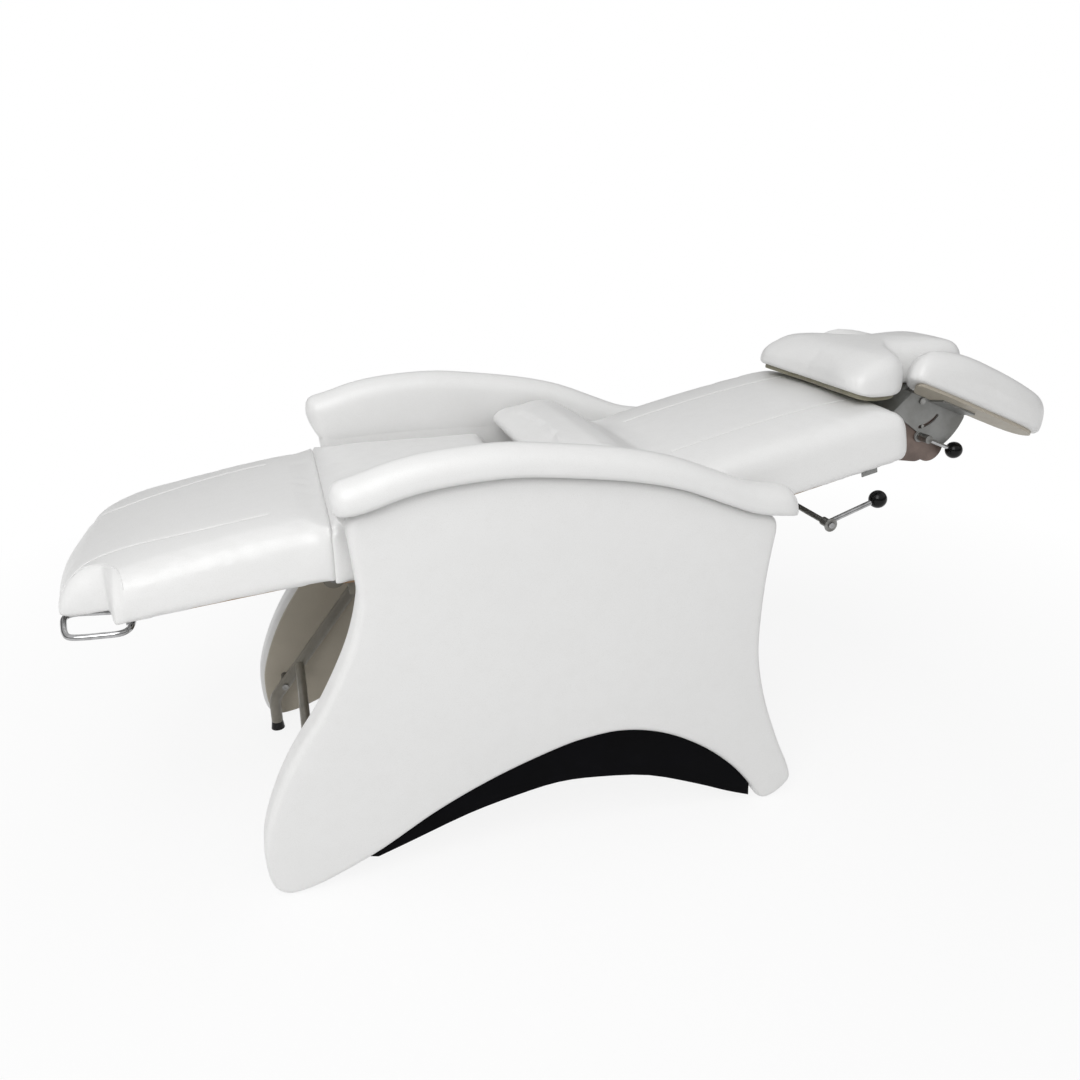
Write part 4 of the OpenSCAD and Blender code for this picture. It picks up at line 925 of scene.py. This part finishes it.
# wings
wing_top = profile([(0, 0.6), (0.07, 0.76), (0.18, 0.9), (0.35, 0.99), (0.6, 0.985), (0.85, 0.92), (1, 0.82)],
                   wing_len, wing_t)
wing_half = [(0.005, 0.72), (0.03, 0.93), (0.13, 1), (0.3, 1.02), (0.5, 1), (0.7, 0.98), (0.88, 0.91),
             (0.97, 0.74), (1, 0.5), (0.975, 0.22), (0.88, 0.05), (0.7, 0), (0.45, 0), (0.25, 0),
             (0.16, 0.04), (0.09, 0.24), (0.03, 0.5)]
wing_curve = smooth([(a * wing_len, b * wing_w) for a, b in wing_half + wing_half[:1]], 4)
wing_outline = wing_curve[:0:-1]
wing_turn = np.array(Matrix.Rotation(wing_pitch, 3, "Y") @ Matrix.Rotation(wing_roll, 3, "X"))
wing_origin = np.array([x_neck - wing_setback, 103.0, z_neck + 41.0])


def place_wing(p):
    return p @ wing_turn.T + wing_origin


def wing_held(p):
    """The same as held, for the tilted wing in its own frame."""
    own = (p / MM - wing_origin) @ wing_turn
    return np.clip(own[:, 2] / hold_rise - 0.25, 0, 1)


wing_cover_right = ring_mesh("wing_cover_right", *pad_rings(
    wing_outline, (wing_len / 2, wing_w / 2), 28, 5, lambda x: np.full_like(x, 6.3),
    lambda x: wing_top(x) - 5), move=place_wing)
puff(wing_cover_right, 5.0, 3.0, wing_held)
wing_cover_left = mirrored(wing_cover_right, "wing_cover_left")
finish_pad(wing_cover_right, "white_leather", "headrest", ["head_wing_right"])
finish_pad(wing_cover_left, "white_leather", "headrest", ["head_wing_left"])


# side panels
def scaled(points):
    return [(a * panel_len, b * panel_h) for a, b in points]


panel_front = [(0.177, 0.936), (0.180, 0.883), (0.187, 0.79), (0.187, 0.735), (0.165, 0.627), (0.118, 0.494),
               (0.063, 0.377), (0.028, 0.28), (0.004, 0.18), (0, 0.11), (0.006, 0.04), (0.025, 0.01),
               (0.055, 0.01)]
panel_arch = [(0.101, 0.028), (0.188, 0.082), (0.295, 0.168), (0.405, 0.236), (0.517, 0.286), (0.574, 0.301),
              (0.631, 0.305), (0.691, 0.29), (0.752, 0.256), (0.817, 0.2), (0.873, 0.133), (0.915, 0.065)]
panel_rear = [(0.94, 0.012), (0.965, 0.01), (0.995, 0.04), (1, 0.075), (0.962, 0.195), (0.927, 0.325),
              (0.906, 0.45), (0.902, 0.56), (0.906, 0.69), (0.919, 0.836)]
arm_base = smooth(scaled([(0.158, 0.944), (0.21, 0.953), (0.25, 0.973), (0.3, 0.988), (0.36, 0.997),
                          (0.44, 1), (0.52, 0.989), (0.63, 0.967), (0.72, 0.937), (0.8, 0.893),
                          (0.87, 0.855), (0.935, 0.842), (0.958, 0.835)]), 8)


def arm_base_z(x):
    return np.interp(x, arm_base[:, 0], arm_base[:, 1])


top_x = np.linspace(0.905, 0.2, 34) * panel_len
panel_line = np.concatenate([smooth(scaled(panel_front + panel_arch + panel_rear), 6),
                             np.column_stack([top_x, arm_base_z(top_x) - 4.5])])


def even_steps(line, step):
    """Resamples a closed outline at an even spacing."""
    loop = np.concatenate([line, line[:1]])
    run = np.concatenate([[0], np.cumsum(np.linalg.norm(np.diff(loop, axis=0), axis=1))])
    n = int(run[-1] / step)
    at = np.linspace(0, run[-1], n, endpoint=False)
    return np.column_stack([np.interp(at, run, loop[:, 0]), np.interp(at, run, loop[:, 1])])


def rounded_at(line, corner, reach, rounds):
    """Rounds off one corner of a closed outline by evening out the points round it."""
    line = line.copy()
    near = (np.linalg.norm(line - corner, axis=1) < reach)[:, None]
    for _ in range(rounds):
        line = np.where(near, (np.roll(line, 1, 0) + line * 2 + np.roll(line, -1, 0)) / 4, line)
    return line


def distance_to(line, points):
    a, b = line, np.roll(line, -1, 0)
    best = np.full(len(points), 1e9)
    for p0, p1 in zip(a, b):
        d = p1 - p0
        t = np.clip(((points - p0) @ d) / (d @ d), 0, 1)
        gap = np.linalg.norm(points - (p0 + t[:, None] * d), axis=1)
        best = np.minimum(best, gap)
    return best


swell_run = 45.0       # how far in from its edge a padded face comes up to its full height


def board_mesh(name, outline, y0, y1, r, swell0, swell1, spacing, wrinkle):
    """A padded board standing in the X-Z plane: rounded edges, faces that swell away from the edge."""
    n = len(outline)
    steps = [(math.sin(a), 1 - math.cos(a)) for a in np.linspace(0, math.pi / 2, 7)]
    rings = []
    for side, y, sign in ((0, y0, 1), (1, y1, -1)):
        part = [np.column_stack([inset(outline, r * (1 - s)), np.full(n, y + sign * r * c)])
                for s, c in steps]
        rings += part if side == 0 else part[::-1]
    inner = inset(outline, r)
    lo, hi = inner.min(0), inner.max(0)
    grid = np.array([(x, z) for z in np.arange(lo[1], hi[1], spacing)
                     for x in np.arange(lo[0], hi[0], spacing)])
    gap = distance_to(inner, grid)
    grid = grid[gap > spacing * 0.55]
    verts = [Vector(q) for q in np.concatenate([inner, grid])]
    edges = [(i, (i + 1) % n) for i in range(n)]
    flat, _, tris, _, _, _ = delaunay_2d_cdt(verts, edges, [], 1, 1e-4)
    flat = np.array([(v.x, v.y) for v in flat])
    depth = distance_to(outline, flat)
    puffed = 1 - np.exp(-np.maximum(depth - r, 0) / swell_run)
    points = [ring[:, (0, 2, 1)] for ring in rings]
    faces = walls(n, len(rings))
    last = (len(rings) - 1) * n
    for y, swell, ring, flip in ((y0, -swell0, 0, False), (y1, swell1, last, True)):
        start = sum(len(q) for q in points)
        lift = puffed * swell + wrinkle(flat, depth) * (-1 if swell < 0 else 1)
        points.append(np.column_stack([flat[:, 0], y + lift, flat[:, 1]]))
        for t in tris:
            ids = [ring + v if v < n else start + v for v in t]
            faces.append(tuple(ids[::-1] if flip else ids))
    obj = solid(name, np.concatenate(points), faces)
    shade_smooth(obj.data)
    return obj


def panel_wrinkle(flat, depth):
    """Faint puckers where the cover is pulled round the arch and the toes."""
    pull = np.exp(-np.maximum(depth - 14, 0) / 26.0)
    return np.array([noise.noise(Vector((q[0] * 0.045, q[1] * 0.02, 3.0))) for q in flat]) * 1.1 * pull


panel_even = even_steps(inset(panel_line, -3.5), 7.0)
for corner in (panel_line[0], panel_line[len(panel_line) - len(top_x)]):
    panel_even = rounded_at(panel_even, corner, 34.0, 14)
panel_grown = even_steps(panel_even, 7.0) + (x_panel, 0)
panel_right = board_mesh("panel_cover_right", panel_grown, y_inner, y_outer, 14, 0.0, 2.6, 16.0,
                         panel_wrinkle)
panel_left = mirrored(panel_right, "panel_cover_left")
finish_pad(panel_right, "white_leather", "base", ["side_panel_right"])
finish_pad(panel_left, "white_leather", "base", ["side_panel_left"])

# the lining stops a little below the seat
lining_top = 500.0
lining_line = inset(even_steps(panel_line, 9.0), 5.5) + (x_panel, 0)
keep = lining_line[:, 1] < lining_top
first = np.where(keep & ~np.roll(keep, 1))[0][0]
lining_line = np.roll(lining_line, -first, 0)
lining_line = even_steps(lining_line[lining_line[:, 1] < lining_top], 8.0)


def lining_wrinkle(flat, depth):
    """The thin lining sags and creases toward the toe."""
    toe = np.exp(-((flat[:, 0] - (x_panel + 130)) / 150) ** 2) * np.exp(-(flat[:, 1] - 120) ** 2 / 90 ** 2)
    lump = np.array([noise.noise(Vector((q[0] * 0.02 + q[1] * 0.012, q[1] * 0.05 - q[0] * 0.01, 1.0)))
                     for q in flat])
    broad = np.array([noise.noise(Vector((q[0] * 0.011, q[1] * 0.012, 5.0))) for q in flat])
    return (lump * 3.4 * toe + broad * 0.8) * np.clip((depth - 5) / 20, 0, 1)


lining_right = board_mesh("lining_cover_right", lining_line, 265.0, 270.9, 2.4, 1.6, 0.0, 13.0,
                          lining_wrinkle)
lining_left = mirrored(lining_right, "lining_cover_left")
finish_pad(lining_right, "taupe_leather", "base", ["inner_lining_right"])
finish_pad(lining_left, "taupe_leather", "base", ["inner_lining_left"])


# armrests
skirt_low = 640.0      # the height at which the armrest's inner cover ends
skirt_t = 12.0
arm_gap = 0.3          # between the pad and the panel's inner face
arm_end = 26.0         # length of the rounding at each end
arm_lean = 17.0        # how far the top of the foot end leans toward the foot
ROOF_STEPS = 30


def armrest():
    """A half-round pad on the panel's top; on the inside its cover runs on down the panel's face."""
    x0, x1 = arm_base[0, 0], arm_base[-1, 0]
    y_mid = y_inner + arm_gap + arm_w / 2
    shares = [0, 0.004, 0.012, 0.022, 0.035, 0.055, *np.linspace(0.085, 0.92, 40),
              0.945, 0.965, 0.98, 0.99, 0.996, 1]
    rings = []
    for s in shares:
        x = mix(x0, x1, s)
        d = min(x - x0, x1 - x)
        g = 1.0 if d >= arm_end else max(math.sqrt(max(1 - (1 - d / arm_end) ** 2, 0)), 0.25)
        z = float(arm_base_z(x))
        ring = []
        for i in range(ROOF_STEPS + 1):
            a = math.pi * i / ROOF_STEPS
            h = arm_t * g * math.sin(a) ** 0.72
            lean = arm_lean * h / arm_t * (1 - s)
            ring.append((x_panel + x - lean, y_mid - arm_w / 2 * g * math.cos(a), z + h))
        skirt = min(max(z - skirt_low, 0.0), max((x - x0) * 2.1, 0.0))
        for i in range(1, 6):
            t = i / 6 * 0.84
            ring.append((x_panel + x, y_mid + arm_w / 2 * g * (1 - 2 * t), z))
        wall = y_inner + arm_gap + arm_w / 2 * (1 - g)
        for out, drop in ((skirt_t, 0.3), (skirt_t, 0.7), (skirt_t, 0.97), (skirt_t / 2, 1.0), (-0.4, 0.97),
                          (-1.2, 0.8), (-1.3, 0.5), (-0.8, 0.2)):
            ring.append((x_panel + x, wall + out, z - skirt * drop))
        rings.append(np.array(ring))
    return ring_mesh("armrest_cover_right", rings, rings[0].mean(0), rings[-1].mean(0))


arm_right = armrest()
tidy_surface(arm_right, 3)
arm_left = mirrored(arm_right, "armrest_cover_left")
finish_pad(arm_right, "white_leather", "base", ["armrest_right"])
finish_pad(arm_left, "white_leather", "base", ["armrest_left"])


# the recline lever's hub ends in a broad flat washer with a bolt through it
hub_low, hub_high = (np.array(corner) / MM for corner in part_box("recline_shaft"))
hub_x, _, hub_z = (hub_low + hub_high) / 2
hub_y = min(hub_low[1], hub_high[1])
for name, radius, y0, y1, mat in (("hub_washer", 13.5, -2.6, -0.1, zinc),
                                  ("hub_bolt", 6.0, -5.6, -2.5, chrome)):
    circle = arc(hub_x, hub_z, radius, 0, 352, 44)
    upright_plate(name, circle, hub_y + y0, hub_y + y1, "recline_lever", mat)


# floor and light
def shader_mix(tree, out, share, a, b):
    node = tree.nodes.new("ShaderNodeMixShader")
    for link, socket in zip((share, a, b), node.inputs):
        tree.links.new(link, socket)
    tree.links.new(node.outputs[0], out.inputs["Surface"])


def stage_floor():
    """A floor that looks white to the camera, a little greyer close to the chair, and takes its shadow."""
    mesh = bpy.data.meshes.new("floor")
    bm = bmesh.new()
    bmesh.ops.create_circle(bm, cap_ends=True, radius=30.0, segments=96)
    bm.to_mesh(mesh)
    bm.free()
    obj = add_object("floor", mesh)
    mat = bpy.data.materials.new("floor")
    mat.use_nodes = True
    tree = mat.node_tree
    tree.nodes.clear()
    out = tree.nodes.new("ShaderNodeOutputMaterial")
    diffuse = tree.nodes.new("ShaderNodeBsdfDiffuse")
    diffuse.inputs["Color"].default_value = (0.86, 0.86, 0.86, 1)
    glow = tree.nodes.new("ShaderNodeEmission")
    path = tree.nodes.new("ShaderNodeLightPath").outputs
    seen = combined(tree, "MAXIMUM", path["Is Camera Ray"], path["Is Glossy Ray"])
    seen = combined(tree, "MAXIMUM", seen, path["Is Transmission Ray"])
    coords = tree.nodes.new("ShaderNodeTexCoord")
    length = tree.nodes.new("ShaderNodeVectorMath")
    length.operation = "LENGTH"
    tree.links.new(coords.outputs["Object"], length.inputs[0])
    share = combined(tree, "MULTIPLY", seen, remap(tree, length.outputs["Value"], 0.9, 2.2, 0.86, 1.0))
    shader_mix(tree, out, share, diffuse.outputs[0], glow.outputs[0])
    mesh.materials.append(mat)


def world_light(strength, dim_share):
    """Even white for the camera; for the chair a room that is brighter in front and dimmer behind it,
    and for what it mirrors a room with darker lower walls."""
    world = bpy.data.worlds.new("world")
    bpy.context.scene.world = world
    world.use_nodes = True
    tree = world.node_tree
    tree.nodes.clear()
    out = tree.nodes.new("ShaderNodeOutputWorld")
    dim = tree.nodes.new("ShaderNodeBackground")
    full = tree.nodes.new("ShaderNodeBackground")
    full.inputs["Strength"].default_value = 1.0
    for node in (dim, full):
        node.inputs["Color"].default_value = (1, 1, 1, 1)
    coords = tree.nodes.new("ShaderNodeTexCoord")
    parts = tree.nodes.new("ShaderNodeSeparateXYZ")
    tree.links.new(coords.outputs["Generated"], parts.inputs["Vector"])
    path = tree.nodes.new("ShaderNodeLightPath").outputs
    room = tree.nodes.new("ShaderNodeMix")
    room.data_type = "FLOAT"
    tree.links.new(path["Is Glossy Ray"], room.inputs[0])
    tree.links.new(remap(tree, parts.outputs["Y"], -0.5, 0.9, strength, strength * dim_share), room.inputs[2])
    tree.links.new(remap(tree, parts.outputs["Z"], 0.15, 0.5, 0.1, 0.9), room.inputs[3])
    tree.links.new(room.outputs[0], dim.inputs["Strength"])
    seen = combined(tree, "MAXIMUM", path["Is Camera Ray"], path["Is Transmission Ray"])
    shader_mix(tree, out, seen, dim.outputs[0], full.outputs[0])


def lamp(name, place, target, size, power):
    data = bpy.data.lights.new(name, "AREA")
    data.shape = "RECTANGLE"
    data.size, data.size_y = size
    data.energy = power
    obj = add_object(name, data)
    obj.location = place
    obj.rotation_euler = (Vector(target) - Vector(place)).to_track_quat("-Z", "Y").to_euler()


stage_floor()
world_light(0.62, 0.66)
lamp("key", (-2.1, -2.8, 2.8), (-0.1, -0.1, 0.5), (2.2, 1.6), 50)
lamp("fill", (-1.0, -1.4, 3.1), (-0.1, 0.2, 0.6), (1.6, 1.2), 20)
